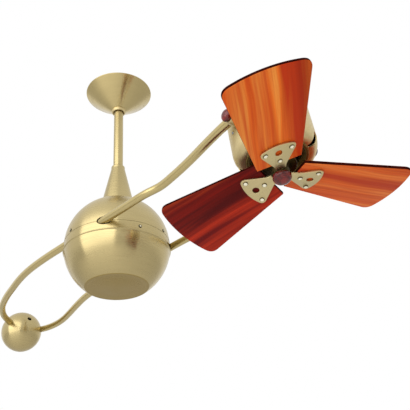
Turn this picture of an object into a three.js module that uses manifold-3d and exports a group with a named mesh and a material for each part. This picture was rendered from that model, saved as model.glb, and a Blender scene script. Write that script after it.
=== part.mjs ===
// Ceiling fan with one tilting three-blade head carried on a pair of bent tubes
// that turn on a spherical turret below the downrod; a ball counterweights the head.
// Millimetres. +Z is up, the ceiling plane is z = 0, +X points from the turret to the head.
import * as THREE from 'three';
import { mergeVertices } from 'three/addons/utils/BufferGeometryUtils.js';
import Module from 'manifold-3d';

const wasm = await Module();
wasm.setup();

// ---------------------------------------------------------------- driving sizes
// turret sphere
const SPHERE_R = 110;            // outside radius of the lower bowl
const SPHERE_SIDES = 32;         // facets round the turret shells
const SPHERE_DROP = 416;         // ceiling plane to sphere centre
const SHELL_WALL = 1.4;          // spun sheet thickness of dome and bowl
const DOME_INSET = 1.0;          // dome radius is this much smaller than the bowl's
const SEAM_Z = -12.5;             // height of the bowl's lip from the sphere centre
const BAND_TOP_Z = 5;            // top edge of the cover band
const BOWL_FLAT_Z = -89;         // flattened underside of the bowl
const BOWL_FLAT_R = 58;

// ceiling side
const CANOPY_R = 76.2;
const CANOPY_H = 50;
const CANOPY_WALL = 1.3;
const NECK_R = 15.9;
const NECK_H = 8.4;
const ROD_R = 10.65;             // half inch pipe
const ROD_BORE_R = 8.3;
const BRACKET_T = 2.5;
const BRACKET_W = 36;
const HUB_R = 17;
const HUB_H = 30;

// bell cover between downrod and dome
const BELL_BASE_R = 35;
const BELL_TOP_R = 15;
const BELL_TOP_Z = 203;          // above the sphere centre
const BELL_NECK_H = 7;
const BELL_WALL = 1.6;
const BELL_GAP = 1.0;            // running gap over the dome

// carrying tubes, plan positions in the horizontal plane through the sphere centre
const TUBE_R = 7.7;
const TUBE_WALL = 1.5;
const CROSSING_LEFT = 85.8;      // where the left tube passes beside the rod axis
const CROSSING_RIGHT = 87.5;     // where the right tube does
const CROSSING_SLOPE = 0.18;     // slant of the straight run through the sphere
const INNER_Y = 35.5;            // straight run beside the head, near side
const LEFT_BOW_Y = 117.2;        // widest point of the left tube's bow
const RIGHT_BOW_Y = 121;         // widest point of the right tube's bow

// counterweight
const BALL_X = -525;
const BALL_Y = -4.8;
const BALL_Z = -5.5;             // from the sphere centre
const BALL_R = 50.6;
const SET_SCREW_R = 5;

// head
const HEAD_X = 461.3;
const HEAD_Y = 37.6;
const HEAD_Z = 2.8;              // pivot centre above the sphere centre
const HEAD_TILT = 8.6;           // degrees outward from straight down
const HEAD_LEAN = 2;             // degrees, the pivot axis is higher at its near end
const DRUM_R = 68.4;
const DRUM_WALL = 2.2;
const BOSS_R = 12;
const BOSS_L = 16.6;
const PIVOT_HALF = DRUM_R + BOSS_L / 2 + 0.5;   // pivot boss centre from the head centre
const STUD_R = 4;
const STUD_REACH = 8;            // length of the stud inside its knob
const KNOB_R = 10.8;
const KNOB_L = 10.5;

// fan
const BLADE_PLANE_Z = -85.9;     // underside of the blades, from the pivot axis
const BLADE_T = 6;
const BLADE_TIP_R = 207.8;
const BLADE_TIP_HALF = 66.9;
const BLADE_ROOT_R = 22.8;
const BLADE_ROOT_HALF = 36.6;
const BLADE_CORNER = 14.2;
const BLADE_PITCH = 12;          // degrees
const BLADE_AZIMUTH = [-44.3, 75.7, 195.7];
const IRON_T = 3.6;
const CAP_R = 15.2;

const FIT = 0.3;                 // clearance between neighbouring pieces

// ---------------------------------------------------------------- finishes
const finish = (color, roughness, metalness) =>
  new THREE.MeshStandardMaterial({ color, roughness, metalness });
const BRASS = finish(0xb4a06c, 0.32, 1.0);
const BRASS_BRIGHT = finish(0xcdb987, 0.2, 1.0);
const STEEL = finish(0x8d8f92, 0.4, 1.0);
const IRON = finish(0x3a3b3d, 0.6, 0.7);
const COPPER = finish(0xa5623a, 0.45, 0.9);
const WOOD = finish(0xc4562a, 0.42, 0.0);
const DARK_WOOD = finish(0x55181a, 0.35, 0.0);

// ---------------------------------------------------------------- solid helpers
function solid(geometry) {
  const bare = geometry.clone();
  bare.deleteAttribute('normal');
  bare.deleteAttribute('uv');
  const merged = mergeVertices(bare, 1e-4);
  return new wasm.Manifold(new wasm.Mesh({
    numProp: 3,
    vertProperties: new Float32Array(merged.attributes.position.array),
    triVerts: new Uint32Array(merged.index.array),
  }));
}

function geometryOf(body) {
  const mesh = body.getMesh();
  const geometry = new THREE.BufferGeometry();
  geometry.setAttribute('position', new THREE.BufferAttribute(new Float32Array(mesh.vertProperties), 3));
  geometry.setIndex(new THREE.BufferAttribute(new Uint32Array(mesh.triVerts), 1));
  return geometry;
}

const join = (first, ...rest) => rest.reduce((sum, body) => sum.add(body), first);
const cut = (first, ...rest) => rest.reduce((left, body) => left.subtract(body), first);

function moved(body, x, y, z) {
  return body.translate([x, y, z]);
}

// surface of revolution about Z from [radius, z] pairs, run so that its faces point outward
function turned(profile, segments = 24) {
  const points = profile.map(([r, z]) => new THREE.Vector2(r, z));
  if (THREE.ShapeUtils.isClockWise(points)) points.reverse();
  const geometry = new THREE.LatheGeometry(points, segments);
  geometry.rotateX(Math.PI / 2);
  return solid(geometry);
}

// ring of revolution: the profile is closed back on its first point
const ring = (profile, segments = 24) => turned([...profile, profile[0]], segments);

// solid of revolution standing on the axis
function spun(profile, segments = 24) {
  const first = profile[0];
  const last = profile[profile.length - 1];
  return turned([[0, first[1]], ...profile, [0, last[1]]], segments);
}

function rodZ(radius, low, high, segments = 16) {
  const geometry = new THREE.CylinderGeometry(radius, radius, high - low, segments);
  geometry.rotateX(Math.PI / 2);
  geometry.translate(0, 0, (low + high) / 2);
  return solid(geometry);
}

function rodY(radius, low, high, segments = 16) {
  const geometry = new THREE.CylinderGeometry(radius, radius, high - low, segments);
  geometry.translate(0, (low + high) / 2, 0);
  return solid(geometry);
}

function rodX(radius, low, high, segments = 16) {
  const geometry = new THREE.CylinderGeometry(radius, radius, high - low, segments);
  geometry.rotateZ(-Math.PI / 2);
  geometry.translate((low + high) / 2, 0, 0);
  return solid(geometry);
}

function block(xLow, xHigh, yLow, yHigh, zLow, zHigh) {
  const geometry = new THREE.BoxGeometry(xHigh - xLow, yHigh - yLow, zHigh - zLow);
  geometry.translate((xLow + xHigh) / 2, (yLow + yHigh) / 2, (zLow + zHigh) / 2);
  return solid(geometry);
}

function plate(shape, thickness, curveSegments = 6) {
  return solid(new THREE.ExtrudeGeometry(shape, { depth: thickness, bevelEnabled: false, curveSegments }));
}

// arc of [radius, z] points on a sphere between two heights
function sphereArc(radius, fromZ, toZ, steps) {
  const a0 = Math.asin(fromZ / radius);
  const a1 = Math.asin(toZ / radius);
  const points = [];
  for (let i = 0; i <= steps; i += 1) {
    const a = a0 + ((a1 - a0) * i) / steps;
    points.push([radius * Math.cos(a), radius * Math.sin(a)]);
  }
  return points;
}

// closed outline with rounded corners; each corner is [x, y, radius]
function roundedOutline(corners) {
  const shape = new THREE.Shape();
  const count = corners.length;
  corners.forEach(([x, y, radius], i) => {
    const here = new THREE.Vector2(x, y);
    const before = new THREE.Vector2(...corners[(i + count - 1) % count].slice(0, 2));
    const after = new THREE.Vector2(...corners[(i + 1) % count].slice(0, 2));
    const inward = before.clone().sub(here).normalize();
    const outward = after.clone().sub(here).normalize();
    const start = here.clone().addScaledVector(inward, radius);
    const end = here.clone().addScaledVector(outward, radius);
    if (i === 0) shape.moveTo(start.x, start.y);
    else shape.lineTo(start.x, start.y);
    if (radius > 0) shape.quadraticCurveTo(here.x, here.y, end.x, end.y);
  });
  shape.closePath();
  return shape;
}

// ---------------------------------------------------------------- piece collector
const fan = new THREE.Group();
fan.name = 'ceiling_fan';

function add(name, body, material) {
  const mesh = new THREE.Mesh(geometryOf(body), material);
  mesh.name = name;
  fan.add(mesh);
  return mesh;
}

const atSphere = (body) => moved(body, 0, 0, -SPHERE_DROP);

// ---------------------------------------------------------------- ceiling bracket and canopy
const BRACKET_HALF = 59;
const TAB_H = 8;
const PIN_Z = -20;
const PIN_R = 3;
const ROD_TOP_Z = -6;
const coneRadius = (z) => CANOPY_R + ((CANOPY_R - NECK_R) * z) / CANOPY_H;
const CANOPY_SCREW_Z = -6.5;
const CANOPY_SCREW_IN = 55;      // inner end of the canopy screws
const BRACKET_SLOT_Y = 40;

const bracketPlate = block(-BRACKET_W / 2, BRACKET_W / 2, -BRACKET_HALF, BRACKET_HALF, -BRACKET_T, 0);
const bracketHub = rodZ(HUB_R, -HUB_H, -BRACKET_T / 2, 24);
const hubBore = rodZ(ROD_R + FIT, -HUB_H - 1, ROD_TOP_Z + FIT, 20);
const wireWindow = block(4, HUB_R + 2, -5, 5, -14, -BRACKET_T - 0.5);
let bracket = join(bracketPlate, bracketHub);
for (const side of [-1, 1]) {
  const y = side * BRACKET_HALF;
  const inner = y - side * BRACKET_T;
  bracket = join(bracket, block(-10, 10, Math.min(y, inner), Math.max(y, inner), -BRACKET_T - TAB_H, -0.5));
  const slot = roundedOutline([[-11, -3.2, 3], [11, -3.2, 3], [11, 3.2, 3], [-11, 3.2, 3]]);
  bracket = cut(bracket, moved(plate(slot, BRACKET_T + 2, 3), 0, side * BRACKET_SLOT_Y, -BRACKET_T - 1));
  bracket = cut(bracket, moved(rodY(2.3, Math.min(y, inner) - 1, Math.max(y, inner) + 1, 8), 0, 0, CANOPY_SCREW_Z));
}
bracket = cut(bracket, hubBore, wireWindow);
bracket = cut(bracket, moved(rodY(PIN_R + 0.2, -HUB_R - 1, HUB_R + 1, 12), 0, 0, PIN_Z));
add('ceiling_bracket', bracket, STEEL);

add('bracket_pin', moved(rodY(PIN_R, -HUB_R - 2, HUB_R + 2, 12), 0, 0, PIN_Z), STEEL);

const canopyOuter = [
  [CANOPY_R - 2, 0],
  [CANOPY_R, 0],
  [CANOPY_R + 0.3, -1.6],
  [NECK_R + 1.2, -CANOPY_H + 1],
  [NECK_R - 0.4, -CANOPY_H],
  [NECK_R - 2.6, -CANOPY_H],
  [NECK_R - 2.6, -CANOPY_H + CANOPY_WALL],
  [NECK_R - 0.6, -CANOPY_H + CANOPY_WALL + 0.6],
];
let canopy = ring(canopyOuter, 32);
for (const side of [-1, 1]) {
  const reach = [side * CANOPY_SCREW_IN, side * CANOPY_R];
  const hole = rodY(2.3, Math.min(...reach), Math.max(...reach), 8);
  canopy = cut(canopy, moved(hole, 0, 0, CANOPY_SCREW_Z));
}
add('canopy', canopy, BRASS);

// slotted screws, flush with the cone where they pass through it
for (const [index, side] of [[1, -1], [2, 1]]) {
  const span = [side * CANOPY_SCREW_IN, side * (coneRadius(CANOPY_SCREW_Z) + 0.8)];
  const screw = rodY(2, Math.min(...span), Math.max(...span), 10);
  add(`canopy_screw_${index}`, moved(screw, 0, 0, CANOPY_SCREW_Z), BRASS);
}

const NECK_BORE_R = ROD_R + 1.1;
const neckTop = -CANOPY_H - FIT;
const neckBottom = -CANOPY_H - NECK_H;
const neckProfile = [
  [NECK_BORE_R, -CANOPY_H + 5],
  [NECK_BORE_R, neckBottom + 1],
  [NECK_BORE_R + 1.4, neckBottom],
  [NECK_R - 1.2, neckBottom],
  [NECK_R, neckBottom + 1.4],
  [NECK_R, neckTop],
  [NECK_R - 2.6 - FIT, neckTop],
  [NECK_R - 2.6 - FIT, -CANOPY_H + 5],
];
add('canopy_neck_ring', ring(neckProfile, 20), BRASS_BRIGHT);

// ---------------------------------------------------------------- downrod, spindle and bell cover
const ROD_END_Z = 60;            // lower end of the pipe above the sphere centre
const SPINDLE_R = 8;
const SPINDLE_PLUG_TOP = 100;
const SPINDLE_LOW = -66;
const BEARING_OUT_R = 17;
const BEARING_H = 11;
const HUB_TOP = 30;              // turret hub, from the sphere centre
const FRAME_T = 3;
const FRAME_Z = -12;             // underside of the frame disc
const NUT_H = 9;

const rodLow = -SPHERE_DROP + ROD_END_Z;
let downrod = cut(rodZ(ROD_R, rodLow, ROD_TOP_Z, 20), rodZ(ROD_BORE_R, rodLow - 1, ROD_TOP_Z + 1, 12));
downrod = cut(downrod, moved(rodY(PIN_R + 0.2, -HUB_R, HUB_R, 12), 0, 0, PIN_Z));
add('downrod', downrod, BRASS);

const spindleProfile = [
  [SPINDLE_R - 3, SPINDLE_LOW],
  [SPINDLE_R - 3, FRAME_Z - 18],
  [SPINDLE_R, FRAME_Z - 17],
  [SPINDLE_R, HUB_TOP + 1],
  [14, HUB_TOP + 1],
  [14, HUB_TOP + 5],
  [ROD_R, HUB_TOP + 9],
  [ROD_R, ROD_END_Z - FIT],
  [SPINDLE_R, ROD_END_Z - FIT],
  [SPINDLE_R, SPINDLE_PLUG_TOP - 2],
  [SPINDLE_R - 2, SPINDLE_PLUG_TOP],
];
const wireBore = rodZ(3, SPINDLE_LOW - 4, SPINDLE_PLUG_TOP + 5, 8);
add('spindle', atSphere(cut(spun(spindleProfile, 16), wireBore)), STEEL);

const nutTop = FRAME_Z - FIT - 0.7;
const nut = cut(rodZ(13.5, nutTop - NUT_H, nutTop, 6), rodZ(SPINDLE_R + 0.2, nutTop - NUT_H - 1, nutTop + 1, 16));
add('spindle_nut', atSphere(nut), STEEL);

const domeR = SPHERE_R - DOME_INSET;
const bellBaseZ = Math.sqrt(domeR ** 2 - BELL_BASE_R ** 2) + BELL_GAP;
const bellProfile = [
  [BELL_BASE_R, bellBaseZ],
  [BELL_BASE_R - 0.2, bellBaseZ + 1.5],
  [BELL_TOP_R, BELL_TOP_Z - BELL_NECK_H],
  [BELL_TOP_R, BELL_TOP_Z - 1.8],
  [BELL_TOP_R - 1.8, BELL_TOP_Z],
  [ROD_R + FIT, BELL_TOP_Z],
  [ROD_R + FIT, BELL_TOP_Z - BELL_NECK_H],
  [BELL_TOP_R - BELL_WALL, BELL_TOP_Z - BELL_NECK_H - 3],
  [BELL_BASE_R - 0.2 - BELL_WALL, bellBaseZ + 1.5],
  [BELL_BASE_R - BELL_WALL, bellBaseZ],
];
const BELL_SCREW_AZIMUTH = 152;
const bellScrewZ = BELL_TOP_Z - BELL_NECK_H / 2 - 0.4;
const bellScrewHole = moved(rodX(1.8, ROD_R - 1, BELL_TOP_R + 2, 8), 0, 0, bellScrewZ);
const bellCover = cut(ring(bellProfile, 24), bellScrewHole.rotate([0, 0, BELL_SCREW_AZIMUTH]));
add('bell_cover', atSphere(bellCover), BRASS);
const bellScrew = moved(rodX(1.6, ROD_R + 0.2, BELL_TOP_R - 0.4, 8), 0, 0, bellScrewZ);
add('bell_set_screw', atSphere(bellScrew.rotate([0, 0, BELL_SCREW_AZIMUTH])), STEEL);

// ---------------------------------------------------------------- carrying tubes
// Each tube is a smooth bend through plan points, straight where it crosses the sphere and
// at both ends. The near tube runs close beside the axis on the head side and bows out on the
// ball side; the far tube does the opposite.
const HALF_CHORD = 118;          // half the straight run through the sphere
const leftCrossing = (x) => -CROSSING_LEFT + CROSSING_SLOPE * x;
const rightCrossing = (x) => CROSSING_RIGHT + CROSSING_SLOPE * x;
const leanRad = THREE.MathUtils.degToRad(HEAD_LEAN);
const bossNear = HEAD_Y - PIVOT_HALF * Math.cos(leanRad);
const bossFar = HEAD_Y + PIVOT_HALF * Math.cos(leanRad);
const LEFT_Z = HEAD_Z + PIVOT_HALF * Math.sin(leanRad);
const RIGHT_Z = HEAD_Z - PIVOT_HALF * Math.sin(leanRad);
const tubeEndX = HEAD_X - BOSS_R + 5;
// share of the way from the straight run to the head, and to the ball
const toHead = (share) => HALF_CHORD + share * (HEAD_X - HALF_CHORD);
const toBall = (share) => -HALF_CHORD + share * (BALL_X + HALF_CHORD);

const leftPlan = [
  [tubeEndX, bossNear],
  [HEAD_X - 34, bossNear],
  [toHead(0.78), -INNER_Y - 2.6],
  [toHead(0.613), -INNER_Y],
  [toHead(0.466), -INNER_Y],
  [toHead(0.349), -INNER_Y - 2.5],
  [toHead(0.231), leftCrossing(toHead(0.231)) + 0.5],
  [toHead(0.07), leftCrossing(toHead(0.07))],
  [HALF_CHORD / 2, leftCrossing(HALF_CHORD / 2)],
  [-HALF_CHORD / 2, leftCrossing(-HALF_CHORD / 2)],
  [-HALF_CHORD, leftCrossing(-HALF_CHORD)],
  [toBall(0.154), -LEFT_BOW_Y + 2],
  [toBall(0.29), -LEFT_BOW_Y],
  [toBall(0.439), -LEFT_BOW_Y + 3.5],
  [toBall(0.588), -LEFT_BOW_Y + 9.1],
  [toBall(0.724), -LEFT_BOW_Y + 20.2],
  [toBall(0.838), -LEFT_BOW_Y + 40.3],
  [BALL_X + 40.5, BALL_Y - 53.7],
  [BALL_X + 28, BALL_Y - 42.9],
  [BALL_X + 14.5, BALL_Y - 30.7],
  [BALL_X - 5.7, BALL_Y - 12.5],
];
const rightPlan = [
  [tubeEndX, bossFar],
  [HEAD_X - 34, bossFar],
  [toHead(0.734), RIGHT_BOW_Y - 4.5],
  [toHead(0.53), RIGHT_BOW_Y - 1.3],
  [toHead(0.312), RIGHT_BOW_Y],
  [toHead(0.122), RIGHT_BOW_Y - 3],
  [HALF_CHORD * 0.76, rightCrossing(HALF_CHORD * 0.76)],
  [HALF_CHORD * 0.25, rightCrossing(HALF_CHORD * 0.25)],
  [-HALF_CHORD / 2, rightCrossing(-HALF_CHORD / 2)],
  [-HALF_CHORD, rightCrossing(-HALF_CHORD)],
  [toBall(0.1155), 58],
  [toBall(0.226), 52.6],
  [toBall(0.3415), 50],
  [toBall(0.4717), 53],
  [toBall(0.5995), 58],
  [toBall(0.705), 61],
  [toBall(0.791), 59],
  [BALL_X + 55, BALL_Y + 57],
  [BALL_X + 39, BALL_Y + 50.3],
  [BALL_X + 26.5, BALL_Y + 43.05],
  [BALL_X + 7, BALL_Y + 31.74],
];

function tubeCurve(plan) {
  const points = plan.map(([x, y]) => new THREE.Vector3(x, y, 0));
  return new THREE.CatmullRomCurve3(points, false, 'centripetal');
}

function polygon(path, radius, sides) {
  for (let i = 0; i < sides; i += 1) {
    const a = (2 * Math.PI * i) / sides;
    const x = radius * Math.cos(a);
    const y = radius * Math.sin(a);
    if (i === 0) path.moveTo(x, y);
    else path.lineTo(x, y);
  }
  path.closePath();
  return path;
}

const TUBE_STEPS = 36;
const TUBE_SIDES = 10;
const BORE_SIDES = 6;
function tubeOn(plan, z) {
  const section = polygon(new THREE.Shape(), TUBE_R, TUBE_SIDES);
  section.holes.push(polygon(new THREE.Path(), TUBE_R - TUBE_WALL, BORE_SIDES));
  const extrudePath = tubeCurve(plan);
  const wall = new THREE.ExtrudeGeometry(section, { steps: TUBE_STEPS, bevelEnabled: false, extrudePath });
  return moved(solid(wall), 0, 0, z);
}
add('tube_left', atSphere(tubeOn(leftPlan, LEFT_Z)), BRASS);
add('tube_right', atSphere(tubeOn(rightPlan, RIGHT_Z)), BRASS);

// straight clearance hole along a tube's run between two plan points
function socket(from, to, radius, beyond) {
  const dx = to[0] - from[0];
  const dy = to[1] - from[1];
  const length = Math.hypot(dx, dy);
  const azimuth = THREE.MathUtils.radToDeg(Math.atan2(dy, dx));
  return moved(rodX(radius, -beyond, length + FIT, 12).rotate([0, 0, azimuth]), from[0], from[1], 0);
}
const CROSSINGS = [
  { line: leftCrossing, z: LEFT_Z },
  { line: rightCrossing, z: RIGHT_Z },
];
function throughSphere(radius) {
  return CROSSINGS.map(({ line, z }) => {
    const hole = socket([-HALF_CHORD, line(-HALF_CHORD)], [HALF_CHORD, line(HALF_CHORD)], radius, 0);
    return moved(hole, 0, 0, z);
  });
}
const tail = (plan) => plan.slice(-2);

// ---------------------------------------------------------------- turret
const frameRimR = 105.4;
const frameRimIn = 102.8;
const frameRimTop = 16;
const frameProfile = [
  [BEARING_OUT_R + 4.5, FRAME_Z],
  [frameRimIn - 20, FRAME_Z],
  [Math.sqrt(frameRimR ** 2 - FRAME_Z ** 2), FRAME_Z],
  [frameRimR, -3],
  [Math.sqrt(frameRimR ** 2 - frameRimTop ** 2), frameRimTop],
  [frameRimIn, frameRimTop],
  [frameRimIn, FRAME_Z + FRAME_T],
  [BEARING_OUT_R + 4.5, FRAME_Z + FRAME_T],
];
const hubProfile = [
  [SPINDLE_R + 2, FRAME_Z],
  [BEARING_OUT_R + 5, FRAME_Z],
  [BEARING_OUT_R + 5, HUB_TOP - 4],
  [BEARING_OUT_R + 3, HUB_TOP],
  [BEARING_OUT_R + FIT, HUB_TOP],
  [BEARING_OUT_R + FIT, HUB_TOP - BEARING_H],
  [SPINDLE_R + 4, HUB_TOP - BEARING_H],
  [SPINDLE_R + 4, FRAME_Z + 4 + BEARING_H],
  [BEARING_OUT_R + FIT, FRAME_Z + 4 + BEARING_H],
  [BEARING_OUT_R + FIT, FRAME_Z + 4],
  [SPINDLE_R + 2, FRAME_Z + 4],
];
let frame = join(ring(frameProfile, 28), ring(hubProfile, 16));
const WINDOW_COUNT = 4;
const windowShape = roundedOutline([[34, -20, 5], [62, -30, 6], [62, 30, 6], [34, 20, 5]]);
for (let i = 0; i < WINDOW_COUNT; i += 1) {
  const opening = moved(plate(windowShape, FRAME_T + 4, 2), 0, 0, FRAME_Z - 2);
  frame = cut(frame, opening.rotate([0, 0, (360 * i) / WINDOW_COUNT]));
}

// the dome's screws sit just above its edge, the seam ring's two screws below it
const RING_RECESS = 0.4;         // seam ring behind the dome's surface
const ringR = domeR - RING_RECESS;
const DOME_SCREW_Z = BAND_TOP_Z + 5;
const RING_SCREW_Z = BAND_TOP_Z - 9;
const BAND_SCREWS = [
  { azimuth: -86, z: DOME_SCREW_Z, surface: domeR },
  { azimuth: -3.5, z: RING_SCREW_Z, surface: ringR },
  { azimuth: 31, z: DOME_SCREW_Z, surface: domeR },
  { azimuth: 94, z: DOME_SCREW_Z, surface: domeR },
  { azimuth: 176.5, z: RING_SCREW_Z, surface: ringR },
  { azimuth: 211, z: DOME_SCREW_Z, surface: domeR },
];
const radial = (body, { azimuth, z }) => moved(body, 0, 0, z).rotate([0, 0, azimuth]);
const bandScrewHoles = BAND_SCREWS.map((screw) => radial(rodX(1.7, frameRimIn - 4, SPHERE_R + 4, 6), screw));

const CLAMP_HALF_X = 12;
const CLAMP_HALF_Y = 9.4;
const CLAMP_RISE = 10;           // clamp top above its tube's centre
const CLAMPS = [
  { name: 'left', y: -CROSSING_LEFT, top: LEFT_Z + CLAMP_RISE, inward: 1 },
  { name: 'right', y: CROSSING_RIGHT, top: RIGHT_Z + CLAMP_RISE, inward: -1 },
];
const CLAMP_SCREW_OFFSET = 20;
const clampScrewY = ({ y, inward }) => y + inward * CLAMP_SCREW_OFFSET;
const clampScrewHole = (clamp) => moved(rodZ(2.2, FRAME_Z - 3, 2, 10), 0, clampScrewY(clamp), 0);
const clearTubes = throughSphere(TUBE_R + FIT);
frame = cut(frame, ...bandScrewHoles, ...clearTubes, ...CLAMPS.map(clampScrewHole));
add('turret_frame', atSphere(frame), STEEL);

const bearing = (low) => ring([
  [SPINDLE_R + 0.25, low],
  [BEARING_OUT_R, low],
  [BEARING_OUT_R, low + BEARING_H - FIT],
  [SPINDLE_R + 0.25, low + BEARING_H - FIT],
], 16);
add('bearing_upper', atSphere(bearing(HUB_TOP - BEARING_H + FIT)), STEEL);
add('bearing_lower', atSphere(bearing(FRAME_Z + 4 + FIT)), STEEL);

// P-shaped clamp that holds a tube down on the frame disc
function tubeClamp(clamp) {
  const { y, top, inward } = clamp;
  const foot = [y, y + inward * (CLAMP_SCREW_OFFSET + 8)];
  const base = FRAME_Z + FRAME_T + FIT;
  const body = join(
    block(-CLAMP_HALF_X, CLAMP_HALF_X, y - CLAMP_HALF_Y, y + CLAMP_HALF_Y, base, top),
    block(-CLAMP_HALF_X, CLAMP_HALF_X, Math.min(...foot), Math.max(...foot), base, -4),
  );
  return cut(body, clampScrewHole(clamp), ...clearTubes);
}
for (const clamp of CLAMPS) {
  add(`tube_clamp_${clamp.name}`, atSphere(tubeClamp(clamp)), STEEL);
  const screw = join(rodZ(2, FRAME_Z - 2, -3, 8), rodZ(4, -4 + FIT, -0.5, 6));
  add(`clamp_screw_${clamp.name}`, atSphere(moved(screw, 0, clampScrewY(clamp), 0)), STEEL);
}

const slipTop = FRAME_Z - NUT_H - 3;
const SLIP_R = 24;
const SLIP_H = 42;
const slipProfile = [
  [SPINDLE_R - 3 + 0.4, slipTop - SLIP_H],
  [SLIP_R - 2, slipTop - SLIP_H],
  [SLIP_R, slipTop - SLIP_H + 2],
  [SLIP_R, slipTop - 3],
  [BEARING_OUT_R + 3, slipTop - 3],
  [BEARING_OUT_R + 3, FRAME_Z - FIT],
  [BEARING_OUT_R, FRAME_Z - FIT],
  [BEARING_OUT_R, slipTop - 6],
  [SPINDLE_R - 3 + 0.4, slipTop - 6],
];
add('slip_ring_housing', atSphere(ring(slipProfile, 16)), IRON);

// holes where the tubes leave the sphere, wider than the tube on every side
const EXIT_CLEAR = 1.6;
const exitCuts = throughSphere(TUBE_R + EXIT_CLEAR);

const domeTopHole = 14;
const domeTopZ = Math.sqrt(domeR ** 2 - domeTopHole ** 2);
const domeIn = domeR - SHELL_WALL;
const RING_LAP = 14;             // how far the seam ring reaches up inside the dome
const ringTop = BAND_TOP_Z + RING_LAP;
const domeProfile = [
  ...sphereArc(domeR, BAND_TOP_Z, ringTop, 1),
  ...sphereArc(domeR, ringTop, domeTopZ, 6).slice(1),
  ...sphereArc(domeIn, Math.sqrt(domeIn ** 2 - domeTopHole ** 2), ringTop, 6),
  ...sphereArc(domeIn, ringTop, BAND_TOP_Z, 1).slice(1),
];
const dome = cut(ring(domeProfile, SPHERE_SIDES), ...bandScrewHoles, ...exitCuts);
add('upper_dome', atSphere(dome), BRASS);

// seam ring: shows between bowl and dome, its upper part laps inside the dome
const RING_LAP_WALL = 1.0;
const ringLapR = domeIn - FIT;
const ringEdge = BAND_TOP_Z - 0.2;
const ringProfile = [
  ...sphereArc(ringR, SEAM_Z + 0.8, ringEdge, 1),
  ...sphereArc(ringLapR, ringEdge, ringTop, 1),
  ...sphereArc(ringLapR - RING_LAP_WALL, ringTop, ringEdge - 1, 1),
  ...sphereArc(ringR - SHELL_WALL, ringEdge - 1, SEAM_Z + 0.8, 1),
];
const seamRing = cut(ring(ringProfile, SPHERE_SIDES), ...bandScrewHoles, ...exitCuts);
add('cover_band', atSphere(seamRing), BRASS);

BAND_SCREWS.forEach((place, i) => {
  const seat = Math.sqrt(place.surface ** 2 - place.z ** 2) + FIT;
  const screw = join(rodX(1.5, frameRimIn - 2, seat + 0.4, 6), rodX(2.6, seat, seat + 1.1, 8));
  add(`band_screw_${i + 1}`, atSphere(radial(screw, place)), BRASS_BRIGHT);
});

const bowlIn = SPHERE_R - SHELL_WALL;
const lipR = 1.5;
const bowlFlatIn = BOWL_FLAT_Z + SHELL_WALL;
const bowlTurn = -Math.sqrt(SPHERE_R ** 2 - (BOWL_FLAT_R + 6) ** 2);
const bowlTurnIn = -Math.sqrt(bowlIn ** 2 - (BOWL_FLAT_R + 5) ** 2);
const bowlProfile = [
  [0, BOWL_FLAT_Z - 1.5],
  [BOWL_FLAT_R * 0.55, BOWL_FLAT_Z - 1.1],
  [BOWL_FLAT_R, BOWL_FLAT_Z],
  ...sphereArc(SPHERE_R, bowlTurn, SEAM_Z - 2 * lipR, 7),
  [SPHERE_R + 0.6, SEAM_Z - lipR * 1.3],
  [SPHERE_R + 0.5, SEAM_Z - lipR * 0.4],
  [SPHERE_R - 0.4, SEAM_Z],
  [bowlIn - 0.4, SEAM_Z],
  ...sphereArc(bowlIn, SEAM_Z - 2 * lipR, bowlTurnIn, 3),
  [BOWL_FLAT_R, bowlFlatIn],
  [0, bowlFlatIn - 1.3],
];
add('lower_bowl', atSphere(turned(bowlProfile, SPHERE_SIDES)), BRASS);

// ---------------------------------------------------------------- counterweight ball
const ballSolid = solid(new THREE.SphereGeometry(BALL_R, 22, 12).rotateX(Math.PI / 2));
const setScrewAxis = new THREE.Vector3(0.911, 0.05, 0.41);
function alongSetScrew(body) {
  const elevation = THREE.MathUtils.radToDeg(Math.asin(setScrewAxis.z));
  const azimuth = THREE.MathUtils.radToDeg(Math.atan2(setScrewAxis.y, setScrewAxis.x));
  return body.rotate([0, -elevation, 0]).rotate([0, 0, azimuth]);
}
const ballTubeHoles = [[leftPlan, LEFT_Z], [rightPlan, RIGHT_Z]].map(([plan, z]) => {
  const [from, to] = tail(plan);
  return moved(socket(from, to, TUBE_R + FIT, 30), -BALL_X, -BALL_Y, z - BALL_Z);
});
const atBall = (body) => atSphere(moved(body, BALL_X, BALL_Y, BALL_Z));
const ball = cut(ballSolid, ...ballTubeHoles, alongSetScrew(rodX(SET_SCREW_R + FIT, BALL_R - 18, BALL_R + 5, 12)));
add('counterweight_ball', atBall(ball), BRASS);
const ballScrew = alongSetScrew(rodX(SET_SCREW_R, BALL_R - 17, BALL_R - 5, 8));
add('ball_set_screw', atBall(ballScrew), IRON);

// ---------------------------------------------------------------- pivot bosses at the tube ends
for (const [name, y, z] of [['left', bossNear, LEFT_Z], ['right', bossFar, RIGHT_Z]]) {
  const edge = 1;
  const half = BOSS_L / 2;
  const profile = [
    [STUD_R + 0.25, -half],
    [BOSS_R - edge, -half],
    [BOSS_R, -half + edge],
    [BOSS_R, half - edge],
    [BOSS_R - edge, half],
    [STUD_R + 0.25, half],
  ];
  const eye = moved(ring(profile, 16).rotate([90 - HEAD_LEAN, 0, 0]), HEAD_X, y, z);
  const tubeSocket = moved(rodX(TUBE_R + FIT, tubeEndX - BOSS_R * 2, tubeEndX + FIT, 12), 0, y, z);
  add(`pivot_boss_${name}`, atSphere(cut(eye, tubeSocket)), BRASS_BRIGHT);
}

// ---------------------------------------------------------------- head, drawn upright about its pivot axis
// Local frame: origin on the pivot axis, -Z along the fan axis. One turn puts it in place.
const tilted = (body) => body.rotate([0, -HEAD_TILT, 0]).rotate([-HEAD_LEAN, 0, 0]);
const inPlace = (body) => moved(tilted(body), HEAD_X, HEAD_Y, HEAD_Z - SPHERE_DROP);

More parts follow.
